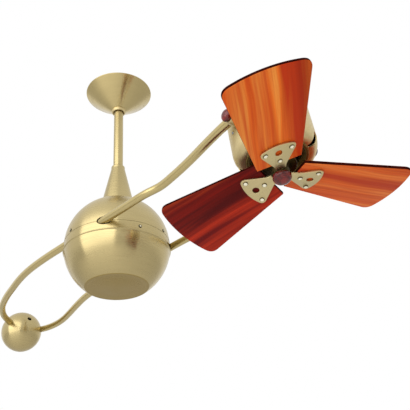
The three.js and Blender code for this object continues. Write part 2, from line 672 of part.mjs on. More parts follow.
const SHOULDER_Z = -32;          // where the drum side starts to round over
const LIP_R = 48.5;              // opening in the drum's underside
const LIP_Z = -55;
const DRUM_TOP_Z = 44;
const shoulder = [
  [DRUM_R, SHOULDER_Z],
  [DRUM_R - 1.2, SHOULDER_Z - 9],
  [DRUM_R - 4.8, SHOULDER_Z - 17],
  [DRUM_R - 11.5, SHOULDER_Z - 22.4],
  [LIP_R, LIP_Z],
];
const inward = (points, wall) => points.map(([r, z]) => {
  const t = Math.min(1, Math.max(0, (SHOULDER_Z - z) / (SHOULDER_Z - LIP_Z)));
  return [r - wall * (1 - t), z + wall * t];
});
const drumProfile = [
  [DRUM_R - DRUM_WALL, DRUM_TOP_Z],
  [DRUM_R, DRUM_TOP_Z],
  ...shoulder,
  ...inward(shoulder, DRUM_WALL).reverse(),
];
const VENT_COUNT = 4;
const VENT_PHASE = 31;
const VENT_IN_HALF = 2.5;        // half width at the inner end
const VENT_OUT_HALF = 8;         // half width on the drum side
const VENT_TOP_Z = -35;
const VENT_IN_R = LIP_R + 2.5;
const ventShape = roundedOutline([
  [VENT_IN_R, -VENT_IN_HALF, 2],
  [DRUM_R + 4, -VENT_OUT_HALF, 0.5],
  [DRUM_R + 4, VENT_OUT_HALF, 0.5],
  [VENT_IN_R, VENT_IN_HALF, 2],
]);
const VENT_CUT_DEPTH = 30;
const vent = moved(plate(ventShape, VENT_CUT_DEPTH, 2), 0, 0, VENT_TOP_Z - VENT_CUT_DEPTH);
let housing = ring(drumProfile, 32);
for (let i = 0; i < VENT_COUNT; i += 1) {
  housing = cut(housing, vent.rotate([0, 0, VENT_PHASE + (360 * i) / VENT_COUNT]));
}
const HOUSING_SCREWS = [-106, -74, 74, 106];
const HOUSING_SCREW_Z = -10.5;
const atHousingScrew = (body, azimuth) => moved(body, 0, 0, HOUSING_SCREW_Z).rotate([0, 0, azimuth]);
housing = cut(
  housing,
  rodY(STUD_R + FIT, -DRUM_R - 2, DRUM_R + 2, 12),
  ...HOUSING_SCREWS.map((azimuth) => atHousingScrew(rodX(1.7, DRUM_R - 6, DRUM_R + 2, 6), azimuth)),
);
add('motor_housing', inPlace(housing), BRASS_BRIGHT);

HOUSING_SCREWS.forEach((azimuth, i) => {
  const screw = join(rodX(1.5, DRUM_R - 7, DRUM_R + 0.5, 6), rodX(2.6, DRUM_R + FIT, DRUM_R + 1.6, 10));
  add(`housing_screw_${i + 1}`, inPlace(atHousingScrew(screw, azimuth)), STEEL);
});

const bezelProfile = [
  [LIP_R - FIT, LIP_Z + 3],
  [LIP_R - FIT, LIP_Z - FIT],
  [LIP_R + 1.6, LIP_Z - FIT],
  [LIP_R + 0.6, LIP_Z - 2.4],
  [LIP_R - 2.6, LIP_Z - 2],
  [LIP_R - 7.5, LIP_Z + 6],
  [LIP_R - 8.5, LIP_Z + 12],
  [LIP_R - 6.8, LIP_Z + 12],
  [LIP_R - 5.6, LIP_Z + 6.6],
];
add('bezel_ring', inPlace(ring(bezelProfile, 32)), BRASS_BRIGHT);

const rearProfile = [
  [0, DRUM_TOP_Z + 16],
  [DRUM_R * 0.44, DRUM_TOP_Z + 15.3],
  [DRUM_R * 0.76, DRUM_TOP_Z + 11.6],
  [DRUM_R - 3.4, DRUM_TOP_Z + 5],
  [DRUM_R, DRUM_TOP_Z + FIT],
  [DRUM_R - DRUM_WALL, DRUM_TOP_Z + FIT],
  [50, DRUM_TOP_Z + 9],
  [0, DRUM_TOP_Z + 13],
];
add('rear_cover', inPlace(turned(rearProfile, 32)), BRASS_BRIGHT);

const STATOR_R = DRUM_R - DRUM_WALL - 5.7;
const STATOR_BORE = 26;
const STATOR_HALF = 17;
let stator = ring([
  [STATOR_BORE, -STATOR_HALF],
  [STATOR_R, -STATOR_HALF],
  [STATOR_R, STATOR_HALF],
  [STATOR_BORE, STATOR_HALF],
], 24);
const TOOTH_COUNT = 12;
for (let i = 0; i < TOOTH_COUNT; i += 1) {
  const gap = block(STATOR_BORE - 2, STATOR_R - 12, -2.5, 2.5, -STATOR_HALF - 1, STATOR_HALF + 1);
  stator = cut(stator, gap.rotate([0, 0, (360 * i) / TOOTH_COUNT]));
}
add('stator_core', inPlace(stator), IRON);

for (const [name, side] of [['front', -1], ['rear', 1]]) {
  const near = side * (STATOR_HALF + FIT);
  const far = side * (STATOR_HALF + 11);
  const low = Math.min(near, far);
  const high = Math.max(near, far);
  const winding = ring([
    [STATOR_BORE + 4, low],
    [STATOR_R - 15, low],
    [STATOR_R - 17, high],
    [STATOR_BORE + 6, high],
  ], 20);
  add(`winding_${name}`, inPlace(winding), COPPER);
}

const SHAFT_R = 6;
const SPIDER_Z = -37;
const spiderRimR = STATOR_R + 0.5;
let spider = join(
  ring([[SHAFT_R + 0.4, SPIDER_Z - 5], [15, SPIDER_Z - 5], [15, SPIDER_Z + 4], [SHAFT_R + 0.4, SPIDER_Z + 4]], 16),
  ring([
    [spiderRimR - 6, SPIDER_Z],
    [spiderRimR, SPIDER_Z],
    [spiderRimR, SPIDER_Z + 4],
    [spiderRimR - 6, SPIDER_Z + 4],
  ], 20),
);
for (let i = 0; i < 4; i += 1) {
  const arm = block(13, spiderRimR - 4, -5, 5, SPIDER_Z, SPIDER_Z + 4);
  spider = join(spider, arm.rotate([0, 0, 30 + 90 * i]));
}
spider = cut(spider, rodZ(SHAFT_R + 0.4, SPIDER_Z - 8, SPIDER_Z + 8, 16));
add('front_spider', inPlace(spider), STEEL);

// threaded studs the head swings on, with a shoulder inside the drum wall
for (const [name, side] of [['left', -1], ['right', 1]]) {
  const span = (a, b) => [Math.min(side * a, side * b), Math.max(side * a, side * b)];
  const stud = join(
    rodY(STUD_R, ...span(DRUM_R - DRUM_WALL - 3, PIVOT_HALF + BOSS_L / 2 + STUD_REACH), 12),
    rodY(STUD_R + 4, ...span(STATOR_R + 0.6, DRUM_R - DRUM_WALL - 1.2), 12),
  );
  add(`pivot_stud_${name}`, inPlace(stud), STEEL);
}

// turned wooden knobs that lock the tilt
for (const [name, side] of [['left', -1], ['right', 1]]) {
  const base = PIVOT_HALF + BOSS_L / 2 + FIT;
  const profile = [
    [KNOB_R - 2, 0],
    [KNOB_R, KNOB_L * 0.25],
    [KNOB_R - 0.6, KNOB_L * 0.6],
    [KNOB_R - 3, KNOB_L * 0.86],
    [KNOB_R - 6.5, KNOB_L - 0.3],
    [0, KNOB_L],
  ];
  const knob = cut(turned([[0, 0], ...profile], 16), rodZ(STUD_R + FIT, -1, STUD_REACH + FIT, 12));
  const lying = side < 0 ? knob.rotate([90, 0, 0]) : knob.rotate([-90, 0, 0]);
  add(`tilt_knob_${name}`, inPlace(moved(lying, 0, side * base, 0)), DARK_WOOD);
}

// ---------------------------------------------------------------- fan: rotor, hub, irons, blades, cap
add('rotor_core', inPlace(cut(rodZ(STATOR_BORE - 0.8, -STATOR_HALF, STATOR_HALF, 24), rodZ(SHAFT_R + 0.1, -40, 40, 16))), STEEL);

const HUB_PLATE_TOP = -68;
const HUB_PLATE_R = 28;
const HUB_BOSS_R = 14;
const HUB_BOSS_LOW = BLADE_PLANE_Z - 4.6;
const shaftLow = BLADE_PLANE_Z - 12;
add('rotor_shaft', inPlace(rodZ(SHAFT_R - 0.1, shaftLow, STATOR_HALF + 12, 16)), STEEL);

const hubProfileLow = [
  [SHAFT_R + 0.2, HUB_BOSS_LOW],
  [HUB_BOSS_R, HUB_BOSS_LOW],
  [HUB_BOSS_R, HUB_PLATE_TOP - 5],
  [HUB_PLATE_R - 2, HUB_PLATE_TOP - 5],
  [HUB_PLATE_R, HUB_PLATE_TOP - 3.5],
  [HUB_PLATE_R, HUB_PLATE_TOP - 1.5],
  [HUB_PLATE_R - 2, HUB_PLATE_TOP],
  [SHAFT_R + 0.2, HUB_PLATE_TOP],
];
add('hub_plate', inPlace(ring(hubProfileLow, 20)), BRASS_BRIGHT);

// blade and iron lie in one plane pitched about the blade's own length
const inBladePlane = (body, azimuth) => moved(body.rotate([BLADE_PITCH, 0, 0]), 0, 0, BLADE_PLANE_Z)
  .rotate([0, 0, azimuth]);

const tipChordX = Math.sqrt(BLADE_TIP_R ** 2 - BLADE_TIP_HALF ** 2);
function bladeOutline() {
  const shape = new THREE.Shape();
  const tipAngle = Math.atan2(BLADE_TIP_HALF, tipChordX);
  const trim = BLADE_CORNER / BLADE_TIP_R;
  const edge = new THREE.Vector2(tipChordX - BLADE_ROOT_R, BLADE_TIP_HALF - BLADE_ROOT_HALF).normalize();
  const sideX = tipChordX - edge.x * BLADE_CORNER;
  const sideY = BLADE_TIP_HALF - edge.y * BLADE_CORNER;
  const arcEnd = tipAngle - trim;
  shape.moveTo(BLADE_ROOT_R, -BLADE_ROOT_HALF);
  shape.lineTo(sideX, -sideY);
  shape.quadraticCurveTo(tipChordX, -BLADE_TIP_HALF, BLADE_TIP_R * Math.cos(arcEnd), -BLADE_TIP_R * Math.sin(arcEnd));
  shape.absarc(0, 0, BLADE_TIP_R, -arcEnd, arcEnd, false);
  shape.quadraticCurveTo(tipChordX, BLADE_TIP_HALF, sideX, sideY);
  shape.lineTo(BLADE_ROOT_R, BLADE_ROOT_HALF);
  shape.closePath();
  return shape;
}

const SCREW_SPOTS = [[53.5, 21], [53.5, -21], [32.5, 0]];
const IRON_HOLE = [49.5, 0];
const IRON_HOLE_R = 5.6;
function ironOutline() {
  const shape = new THREE.Shape();
  shape.moveTo(10, -7);
  shape.lineTo(22, -10);
  shape.lineTo(50, -27);
  shape.quadraticCurveTo(59, -31, 61.5, -22);
  shape.quadraticCurveTo(69.5, 0, 61.5, 22);
  shape.quadraticCurveTo(59, 31, 50, 27);
  shape.lineTo(22, 10);
  shape.lineTo(10, 7);
  shape.closePath();
  return shape;
}

BLADE_AZIMUTH.forEach((azimuth, i) => {
  let iron = moved(plate(ironOutline(), IRON_T, 5), 0, 0, -IRON_T);
  iron = cut(iron, moved(rodZ(IRON_HOLE_R, -IRON_T - 1, 1, 14), ...IRON_HOLE, 0));
  let blade = moved(plate(bladeOutline(), BLADE_T, 8), 0, 0, FIT);
  for (const [x, y] of SCREW_SPOTS) {
    const head = spun([[2.2, -IRON_T - 2.2], [3.6, -IRON_T - 1.2], [4.2, -IRON_T + 0.2]], 8);
    iron = join(iron, moved(head, x, y, 0), moved(rodZ(1.8, -IRON_T, BLADE_T - 1, 6), x, y, 0));
    blade = cut(blade, moved(rodZ(2.1, -1, BLADE_T - 0.6, 6), x, y, 0));
  }
  iron = cut(inBladePlane(iron, azimuth), rodZ(HUB_BOSS_R + FIT, BLADE_PLANE_Z - 30, BLADE_PLANE_Z + 30, 32));
  const hubRoom = rodZ(HUB_PLATE_R + FIT, HUB_PLATE_TOP - 5 - FIT, HUB_PLATE_TOP + FIT, 32);
  add(`blade_iron_${i + 1}`, inPlace(iron), BRASS_BRIGHT);
  add(`blade_${i + 1}`, inPlace(cut(inBladePlane(blade, azimuth), hubRoom)), WOOD);
});

const capBase = HUB_BOSS_LOW - FIT;
const capProfile = [
  [CAP_R - 2, capBase],
  [CAP_R - 0.3, capBase - 1.5],
  [CAP_R, capBase - 4.5],
  [CAP_R - 1.6, capBase - 8.5],
  [CAP_R - 5, capBase - 11.4],
  [CAP_R - 9.5, capBase - 13.2],
  [0, capBase - 13.8],
];
const capBody = turned([[0, capBase], ...capProfile], 20);
add('hub_cap', inPlace(cut(capBody, rodZ(SHAFT_R + 0.2, shaftLow - 1, capBase + 1, 16))), DARK_WOOD);

export default fan;
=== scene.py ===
import math

import bmesh
import bpy
from mathutils import Matrix, Vector


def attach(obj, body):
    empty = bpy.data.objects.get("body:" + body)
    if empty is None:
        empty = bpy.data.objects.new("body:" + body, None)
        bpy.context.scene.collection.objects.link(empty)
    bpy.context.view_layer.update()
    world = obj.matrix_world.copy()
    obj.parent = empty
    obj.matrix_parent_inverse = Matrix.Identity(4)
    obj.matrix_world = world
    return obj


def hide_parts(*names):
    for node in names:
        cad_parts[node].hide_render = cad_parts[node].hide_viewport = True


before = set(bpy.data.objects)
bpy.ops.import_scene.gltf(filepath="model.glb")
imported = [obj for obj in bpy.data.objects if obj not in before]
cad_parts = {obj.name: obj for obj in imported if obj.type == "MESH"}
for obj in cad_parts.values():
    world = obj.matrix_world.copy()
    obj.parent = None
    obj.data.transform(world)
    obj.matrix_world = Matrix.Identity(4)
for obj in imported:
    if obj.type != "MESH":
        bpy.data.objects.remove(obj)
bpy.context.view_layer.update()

MM = 0.001
PHOTO_WIDTH_PX = 410
FOCAL_LENGTH_PX = 660
SENSOR_MM = 36
CAMERA_AT = Vector((1.0884, -0.5662, -1.0602))
CAMERA_RIGHT = Vector((0.5616, 0.8253, -0.0594))
CAMERA_FORWARD = Vector((-0.6896, 0.5065, 0.5175))
FLOOR_Z = -1.7
FLOOR_HALF = 40
WORLD_STRENGTH = 0.72
SMOOTH_ANGLE = 32
GAP = 0.3
SHELL_WALL = 1.4
# radius and height of the screw heads
BAND_SCREW_SIZE = (3.6, 1.5)
DRUM_SCREW_SIZE = (2.6, 1.5)
IRON_SCREW_SIZE = (4.2, 2.2)
FLAT_Z = -89
SPHERE_DROP = 416
HEAD_X = 461.3
HEAD_Y = 37.6
HEAD_Z = 2.8
HEAD_TILT = 8.6
HEAD_LEAN = 2
AT_SPHERE = Matrix.Translation(Vector((0, 0, -SPHERE_DROP)) * MM)
LEAN = Matrix.Rotation(math.radians(-HEAD_LEAN), 4, "X")
AT_HEAD = (
    Matrix.Translation(Vector((HEAD_X, HEAD_Y, HEAD_Z - SPHERE_DROP)) * MM)
    @ LEAN
    @ Matrix.Rotation(math.radians(-HEAD_TILT), 4, "Y")
)
UPRIGHT = Matrix.Identity(4)


# ---------------------------------------------------------------- camera
def set_camera():
    forward = CAMERA_FORWARD.normalized()
    right = (CAMERA_RIGHT - forward * CAMERA_RIGHT.dot(forward)).normalized()
    up = right.cross(forward)
    data = bpy.data.cameras.new("camera")
    data.sensor_width = SENSOR_MM
    data.lens = SENSOR_MM * FOCAL_LENGTH_PX / PHOTO_WIDTH_PX
    data.clip_start = 0.05
    data.clip_end = 50
    camera = bpy.data.objects.new("camera", data)
    basis = Matrix((right, up, -forward)).transposed().to_4x4()
    camera.matrix_world = Matrix.Translation(CAMERA_AT) @ basis
    bpy.context.scene.collection.objects.link(camera)
    bpy.context.scene.camera = camera


set_camera()


# ---------------------------------------------------------------- materials
def srgb(red, green, blue):
    def linear(c):
        c = c / 255
        return c / 12.92 if c <= 0.04045 else ((c + 0.055) / 1.055) ** 2.4
    return (linear(red), linear(green), linear(blue), 1)


class Nodes:
    """Short forms for building a node tree."""

    def __init__(self, name):
        self.material = bpy.data.materials.new(name)
        self.material.use_nodes = True
        self.tree = self.material.node_tree
        self.shader = self.tree.nodes["Principled BSDF"]

    def new(self, kind, **settings):
        node = self.tree.nodes.new(kind)
        for key, value in settings.items():
            setattr(node, key, value)
        return node

    def link(self, source, target):
        self.tree.links.new(source, target)

    def mapped(self, scale, offset=(0, 0, 0)):
        coordinates = self.new("ShaderNodeTexCoord")
        mapping = self.new("ShaderNodeMapping")
        mapping.inputs["Scale"].default_value = scale
        mapping.inputs["Location"].default_value = offset
        self.link(coordinates.outputs["Object"], mapping.inputs["Vector"])
        return mapping.outputs["Vector"]

    def noise(self, vector, detail=3.0, roughness=0.5, distortion=0.0):
        node = self.new("ShaderNodeTexNoise")
        node.inputs["Scale"].default_value = 1.0
        node.inputs["Detail"].default_value = detail
        node.inputs["Roughness"].default_value = roughness
        node.inputs["Distortion"].default_value = distortion
        self.link(vector, node.inputs["Vector"])
        return node.outputs["Fac"]

    def ramp(self, value, stops):
        node = self.new("ShaderNodeValToRGB")
        band = node.color_ramp
        while len(band.elements) > 1:
            band.elements.remove(band.elements[-1])
        band.elements[0].position = stops[0][0]
        band.elements[0].color = stops[0][1]
        for position, colour in stops[1:]:
            band.elements.new(position).color = colour
        self.link(value, node.inputs["Fac"])
        return node.outputs["Color"]

    def spread(self, value, low, high):
        node = self.new("ShaderNodeMapRange")
        node.inputs["From Min"].default_value = 0.3
        node.inputs["From Max"].default_value = 0.7
        node.inputs["To Min"].default_value = low
        node.inputs["To Max"].default_value = high
        self.link(value, node.inputs["Value"])
        return node.outputs["Result"]

    def mix(self, factor, first, second, kind="MIX"):
        node = self.new("ShaderNodeMix", data_type="RGBA", blend_type=kind)
        self.link(factor, node.inputs[0])
        for socket, value in ((node.inputs[6], first), (node.inputs[7], second)):
            if isinstance(value, tuple):
                socket.default_value = value
            else:
                self.link(value, socket)
        return node.outputs[2]

    def bump(self, height, strength, distance):
        node = self.new("ShaderNodeBump")
        node.inputs["Strength"].default_value = strength
        node.inputs["Distance"].default_value = distance
        self.link(height, node.inputs["Height"])
        return node.outputs["Normal"]


def scaled(colour, factor):
    return tuple(min(1.0, c * factor) for c in colour[:3]) + (1,)


# Painted reflection: darker warm brass that stands in for the dark reflection on the bowl's flat underside.
PAINTED_FOOT_REFLECTION = srgb(158, 136, 80)


def metal(name, colour, roughness, grain, anisotropic=0.0, variation=0.06, bump=0.05, painted_reflection_below=None):
    """Satin metal with fine lines across the finest grain direction and a slow change of tone.

    Below the height given, in millimetres, the finish takes the darker underside colour: a painted
    reflection on the flat underside.
    """
    n = Nodes(name)
    lines = n.noise(n.mapped(grain), detail=2)
    slow = n.noise(n.mapped((9, 9, 9)), detail=2)
    toned = n.ramp(slow, [(0.35, scaled(colour, 1 - variation)), (0.65, scaled(colour, 1 + variation))])
    lined = n.mix(n.spread(lines, 0.0, 0.35), toned, scaled(colour, 0.86))
    # painted reflection: below the given height the colour turns to the darker underside colour
    if painted_reflection_below is not None:
        height = n.new("ShaderNodeSeparateXYZ")
        n.link(n.new("ShaderNodeTexCoord").outputs["Object"], height.inputs[0])
        low = n.new("ShaderNodeMapRange")
        low.inputs["From Min"].default_value = (painted_reflection_below + 0.4) * MM
        low.inputs["From Max"].default_value = (painted_reflection_below - 0.4) * MM
        n.link(height.outputs["Z"], low.inputs["Value"])
        lined = n.mix(low.outputs["Result"], lined, PAINTED_FOOT_REFLECTION)
    n.link(lined, n.shader.inputs["Base Color"])
    n.link(n.spread(lines, roughness * 0.85, roughness * 1.2), n.shader.inputs["Roughness"])
    n.shader.inputs["Metallic"].default_value = 1.0
    if anisotropic:
        n.shader.inputs["Anisotropic"].default_value = anisotropic
        n.shader.inputs["Anisotropic Rotation"].default_value = 0.25
        tangent = n.new("ShaderNodeTangent", direction_type="RADIAL", axis="Z")
        n.link(tangent.outputs["Tangent"], n.shader.inputs["Tangent"])
    n.link(n.bump(lines, bump, 0.0002), n.shader.inputs["Normal"])
    return n.material


def screw_metal(name, bright, dark, edge):
    """Bright screw head with a dark ring of painted shade, the shadow of the recess round it, beyond the
    edge radius in millimetres.
    """
    n = Nodes(name)
    flat = n.new("ShaderNodeVectorMath", operation="MULTIPLY")
    flat.inputs[1].default_value = (1, 1, 0)
    n.link(n.new("ShaderNodeTexCoord").outputs["Object"], flat.inputs[0])
    radius = n.new("ShaderNodeVectorMath", operation="LENGTH")
    n.link(flat.outputs[0], radius.inputs[0])
    # painted shade: the colour turns dark beyond the edge radius, standing in for the shadow round the head
    painted_shade_ring = n.new("ShaderNodeMapRange")
    painted_shade_ring.inputs["From Min"].default_value = edge * MM * 0.9
    painted_shade_ring.inputs["From Max"].default_value = edge * MM * 1.1
    n.link(radius.outputs["Value"], painted_shade_ring.inputs["Value"])
    worn = n.noise(n.mapped((400, 400, 400)), detail=2)
    n.link(n.mix(painted_shade_ring.outputs["Result"], bright, dark), n.shader.inputs["Base Color"])
    n.link(n.spread(worn, 0.12, 0.3), n.shader.inputs["Roughness"])
    n.shader.inputs["Metallic"].default_value = 1.0
    n.link(n.bump(worn, 0.02, 0.0002), n.shader.inputs["Normal"])
    return n.material


def blade_wood(name, dark, middle, light, seed, shade, shade_span, shade_colour):
    """Lacquered wood with long streaks along X. One long side is toned towards the shade colour."""
    n = Nodes(name)
    warp = n.noise(n.mapped((3.5, 9, 1), (seed, seed * 2, 0)), detail=2)

    def grain(scale, shift, detail, roughness):
        bent = n.new("ShaderNodeVectorMath", operation="MULTIPLY_ADD")
        bent.inputs[1].default_value = (0, shift, 0)
        n.link(warp, bent.inputs[0])
        n.link(n.mapped(scale, (seed * 3, seed, 0)), bent.inputs[2])
        return n.noise(bent.outputs[0], detail=detail, roughness=roughness)

    wide = grain((1.5, 34, 12), 1.1, 3, 0.5)
    streaks = grain((2.6, 95, 40), 2.4, 5, 0.6)
    fine = grain((9, 420, 60), 6.0, 3, 0.6)
    body = n.ramp(wide, [(0.38, dark), (0.45, scaled(middle, 0.72)), (0.52, middle), (0.62, light)])
    toned = n.mix(n.spread(streaks, 0.0, 0.9), body, scaled(dark, 1.1))
    place_at = n.new("ShaderNodeSeparateXYZ")
    n.link(n.new("ShaderNodeTexCoord").outputs["Object"], place_at.inputs[0])
    side = n.new("ShaderNodeMath", operation="MULTIPLY_ADD")
    side.inputs[1].default_value = 0.05
    n.link(streaks, side.inputs[0])
    n.link(place_at.outputs["Y"], side.inputs[2])
    across = n.new("ShaderNodeMapRange", interpolation_type="SMOOTHSTEP")
    across.inputs["From Min"].default_value = shade_span[0] * MM + 0.025
    across.inputs["From Max"].default_value = shade_span[1] * MM + 0.025
    across.inputs["To Max"].default_value = shade
    n.link(side.outputs[0], across.inputs["Value"])
    sided = n.mix(across.outputs["Result"], toned, shade_colour, "MULTIPLY")
    grained = n.mix(n.spread(fine, 0.0, 0.3), sided, scaled(dark, 0.9))
    n.link(grained, n.shader.inputs["Base Color"])
    n.link(n.spread(fine, 0.42, 0.55), n.shader.inputs["Roughness"])
    n.shader.inputs["Specular IOR Level"].default_value = 0.1
    n.link(n.bump(fine, 0.08, 0.0003), n.shader.inputs["Normal"])
    return n.material


def polished_wood(name, dark, light, roughness):
    n = Nodes(name)
    rings = n.noise(n.mapped((60, 60, 260)), detail=4, roughness=0.6, distortion=0.4)
    n.link(n.ramp(rings, [(0.35, dark), (0.65, light)]), n.shader.inputs["Base Color"])
    n.link(n.spread(rings, roughness * 0.8, roughness * 1.2), n.shader.inputs["Roughness"])
    n.shader.inputs["Specular IOR Level"].default_value = 0.5
    n.link(n.bump(rings, 0.06, 0.0003), n.shader.inputs["Normal"])
    return n.material


BRASS_COLOUR = srgb(186, 169, 122)
BRIGHT_COLOUR = srgb(206, 188, 140)
spun_brass = metal("spun_brass", BRASS_COLOUR, 0.26, grain=(14, 14, 620), anisotropic=0.8)
# the bowl's flat underside carries the painted reflection
bowl_brass = metal("bowl_brass", BRASS_COLOUR, 0.24, grain=(14, 14, 620), anisotropic=0.8, painted_reflection_below=FLAT_Z + GAP)
canopy_brass = metal("canopy_brass", srgb(192, 174, 124), 0.22, grain=(14, 14, 620), anisotropic=0.6)
drawn_brass = metal("drawn_brass", srgb(196, 178, 126), 0.24, grain=(25, 300, 300), variation=0.02, bump=0.0)
bright_brass = metal("bright_brass", BRIGHT_COLOUR, 0.42, grain=(300, 300, 300), variation=0.03, bump=0.01)
cast_brass = metal("satin_plate", srgb(206, 190, 142), 0.34, grain=(900, 60, 300), bump=0.05)
funnel_brass = metal("shaded_brass", srgb(128, 112, 60), 0.5, grain=(300, 300, 900), bump=0.04)
# Screw heads carry a painted shade ring: the dark colour stands in for the shadow round each head.
band_screw_metal = screw_metal("band_screw_metal", srgb(236, 228, 200), srgb(40, 32, 16), 1.9)
iron_screw_metal = screw_metal("iron_screw_metal", srgb(250, 246, 226), srgb(92, 78, 44), 3.1)
# Painted shade: the hub brass is darkened to stand in for the shade between the irons, the cap and the drum.
hub_brass_painted_shade = metal("hub_brass_painted_shade", srgb(74, 62, 34), 0.5, grain=(200, 200, 600))
steel = metal("plain_steel", srgb(150, 151, 154), 0.35, grain=(200, 200, 600))
dark_iron = metal("dark_iron", srgb(52, 52, 54), 0.5, grain=(90, 90, 2200), variation=0.2, bump=0.2)
copper_wire = metal("enamelled_wire", srgb(150, 82, 45), 0.4, grain=(30, 30, 1800), variation=0.15, bump=0.5)
turned_wood = polished_wood("turned_wood", srgb(50, 7, 8), srgb(128, 30, 26), 0.13)
edge_wood = polished_wood("stained_edge", srgb(34, 9, 7), srgb(64, 17, 12), 0.9)
edge_shader = edge_wood.node_tree.nodes["Principled BSDF"]
edge_shader.inputs["Specular IOR Level"].default_value = 0.0
blade_woods = [
    blade_wood("blade_wood_1", srgb(186, 54, 14), srgb(248, 126, 38), srgb(255, 172, 76), 1.7,
               0.6, (28, 64), srgb(150, 95, 80)),
    blade_wood("blade_wood_2", srgb(180, 58, 20), srgb(240, 118, 42), srgb(250, 150, 66), 5.3,
               0.35, (0, 60), srgb(225, 150, 115)),
    blade_wood("blade_wood_3", srgb(104, 10, 8), srgb(220, 60, 26), srgb(252, 122, 48), 9.1,
               0.86, (-44, 22), srgb(140, 54, 58)),
]


# ---------------------------------------------------------------- mesh helpers
def place(name, mesh, body, material, matrix=UPRIGHT, nodes=()):
    piece = bpy.data.objects.new(name, mesh)
    bpy.context.scene.collection.objects.link(piece)
    piece.matrix_world = matrix
    mesh.materials.append(material)
    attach(piece, body)
    if nodes:
        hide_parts(*nodes)


def shaded(mesh, angle=SMOOTH_ANGLE):
    mesh.shade_smooth()
    mesh.set_sharp_from_angle(angle=math.radians(angle))
    return mesh


def closed(bm, name, angle=SMOOTH_ANGLE):
    bmesh.ops.recalc_face_normals(bm, faces=bm.faces)
    mesh = bpy.data.meshes.new(name)
    bm.to_mesh(mesh)
    bm.free()
    return shaded(mesh, angle)


def softened(profile, radius, closed_loop, steps=3):
    """Profile with its corners rounded; points on the axis stay."""
    points = [Vector(p) for p in profile]
    count = len(points)
    result = []
    for i, here in enumerate(points):
        ends = not closed_loop and i in (0, count - 1)
        before = points[i - 1]
        after = points[(i + 1) % count]
        if ends or (before - here).length < 1e-6 or (after - here).length < 1e-6:
            result.append(here)
            continue
        one = (before - here).normalized()
        two = (after - here).normalized()
        if one.dot(two) < -0.985:
            result.append(here)
            continue
        reach = min(radius, 0.45 * (before - here).length, 0.45 * (after - here).length)
        start = here + one * reach
        end = here + two * reach
        for k in range(steps + 1):
            t = k / steps
            result.append(start * (1 - t) ** 2 + here * 2 * t * (1 - t) + end * t ** 2)
    return result


def lathe(name, profile, soften=0.5, segments=128, angle=SMOOTH_ANGLE):
    """Solid of revolution about Z from [radius, z] in millimetres.

    The profile ends on the axis, or closes on itself.
    """
    on_axis = profile[0][0] == 0 or profile[-1][0] == 0
    points = softened(profile, soften, not on_axis) if soften else [Vector(p) for p in profile]
    bm = bmesh.new()
    rings = []
    for r, z in points:
        if r < 1e-6:
            rings.append([bm.verts.new((0, 0, z * MM))])
            continue
        ring = []
        for k in range(segments):
            a = 2 * math.pi * k / segments
            ring.append(bm.verts.new((r * math.cos(a) * MM, r * math.sin(a) * MM, z * MM)))
        rings.append(ring)
    pairs = list(zip(rings, rings[1:]))
    if not on_axis:
        pairs.append((rings[-1], rings[0]))
    for low, high in pairs:
        for k in range(segments):
            after = (k + 1) % segments
            if len(low) == 1 and len(high) == 1:
                break
            if len(low) == 1:
                bm.faces.new((low[0], high[k], high[after]))
            elif len(high) == 1:
                bm.faces.new((low[k], low[after], high[0]))
            else:
                bm.faces.new((low[k], low[after], high[after], high[k]))
    return closed(bm, name, angle)


def arc(radius, z_from, z_to, steps):
    """[radius, z] points on a sphere between two heights."""
    a, b = math.asin(z_from / radius), math.asin(z_to / radius)
    turn = [a + (b - a) * k / steps for k in range(steps + 1)]
    return [(radius * math.cos(t), radius * math.sin(t)) for t in turn]


def rod_mesh(name, start, end, radius, segments=48):
    """Closed round bar between two points in millimetres."""
    start, end = Vector(start), Vector(end)
    turn = (end - start).to_track_quat("Z", "Y").to_matrix().to_4x4()
    bm = bmesh.new()
    bmesh.ops.create_cone(
        bm, cap_ends=True, segments=segments, radius1=radius * MM, radius2=radius * MM,
        depth=(end - start).length * MM,
        matrix=Matrix.Translation((start + end) / 2 * MM) @ turn,
    )
    return closed(bm, name)


def evaluated_mesh(work):
    depsgraph = bpy.context.evaluated_depsgraph_get()
    return bpy.data.meshes.new_from_object(work.evaluated_get(depsgraph))


def carve(mesh, cutters, angle=SMOOTH_ANGLE):
    """Mesh less the cutters, by an exact boolean."""
    work = bpy.data.objects.new("work", mesh)
    bpy.context.scene.collection.objects.link(work)
    tools = []
    for cutter in cutters:
        tool = bpy.data.objects.new("tool", cutter)
        bpy.context.scene.collection.objects.link(tool)
        tools.append(tool)
        modifier = work.modifiers.new("cut", "BOOLEAN")
        modifier.operation = "DIFFERENCE"
        modifier.solver = "EXACT"
        modifier.object = tool
    bpy.context.view_layer.update()
    result = evaluated_mesh(work)
    result.name = mesh.name
    for thing in [work, *tools]:
        bpy.data.objects.remove(thing)
    return shaded(result, angle)


def outline_solid(name, outlines, thickness, bevel, low=0.0):
    """Plate with rounded edges from closed outlines in millimetres.

    The first outline is the outside and the rest are holes.
    """
    curve = bpy.data.curves.new(name, "CURVE")
    curve.dimensions = "2D"
    curve.fill_mode = "BOTH"
    for points in outlines:
        spline = curve.splines.new("POLY")
        spline.points.add(len(points) - 1)
        for point, (x, y) in zip(spline.points, points):
            point.co = (x * MM, y * MM, 0, 1)
        spline.use_cyclic_u = True
    curve.extrude = (thickness / 2 - bevel) * MM
    curve.bevel_depth = bevel * MM
    curve.bevel_resolution = 2
    curve.offset = -bevel * MM
    work = bpy.data.objects.new("work", curve)
    bpy.context.scene.collection.objects.link(work)
    bpy.context.view_layer.update()
    mesh = evaluated_mesh(work)
    bpy.data.objects.remove(work)
    mesh.name = name
    mesh.transform(Matrix.Translation((0, 0, (low + thickness / 2) * MM)))
    bm = bmesh.new()
    bm.from_mesh(mesh)
    bmesh.ops.remove_doubles(bm, verts=bm.verts, dist=1e-6)
    bmesh.ops.recalc_face_normals(bm, faces=bm.faces)
    bm.to_mesh(mesh)
    bm.free()
    mesh.materials.clear()
    return shaded(mesh, 40)


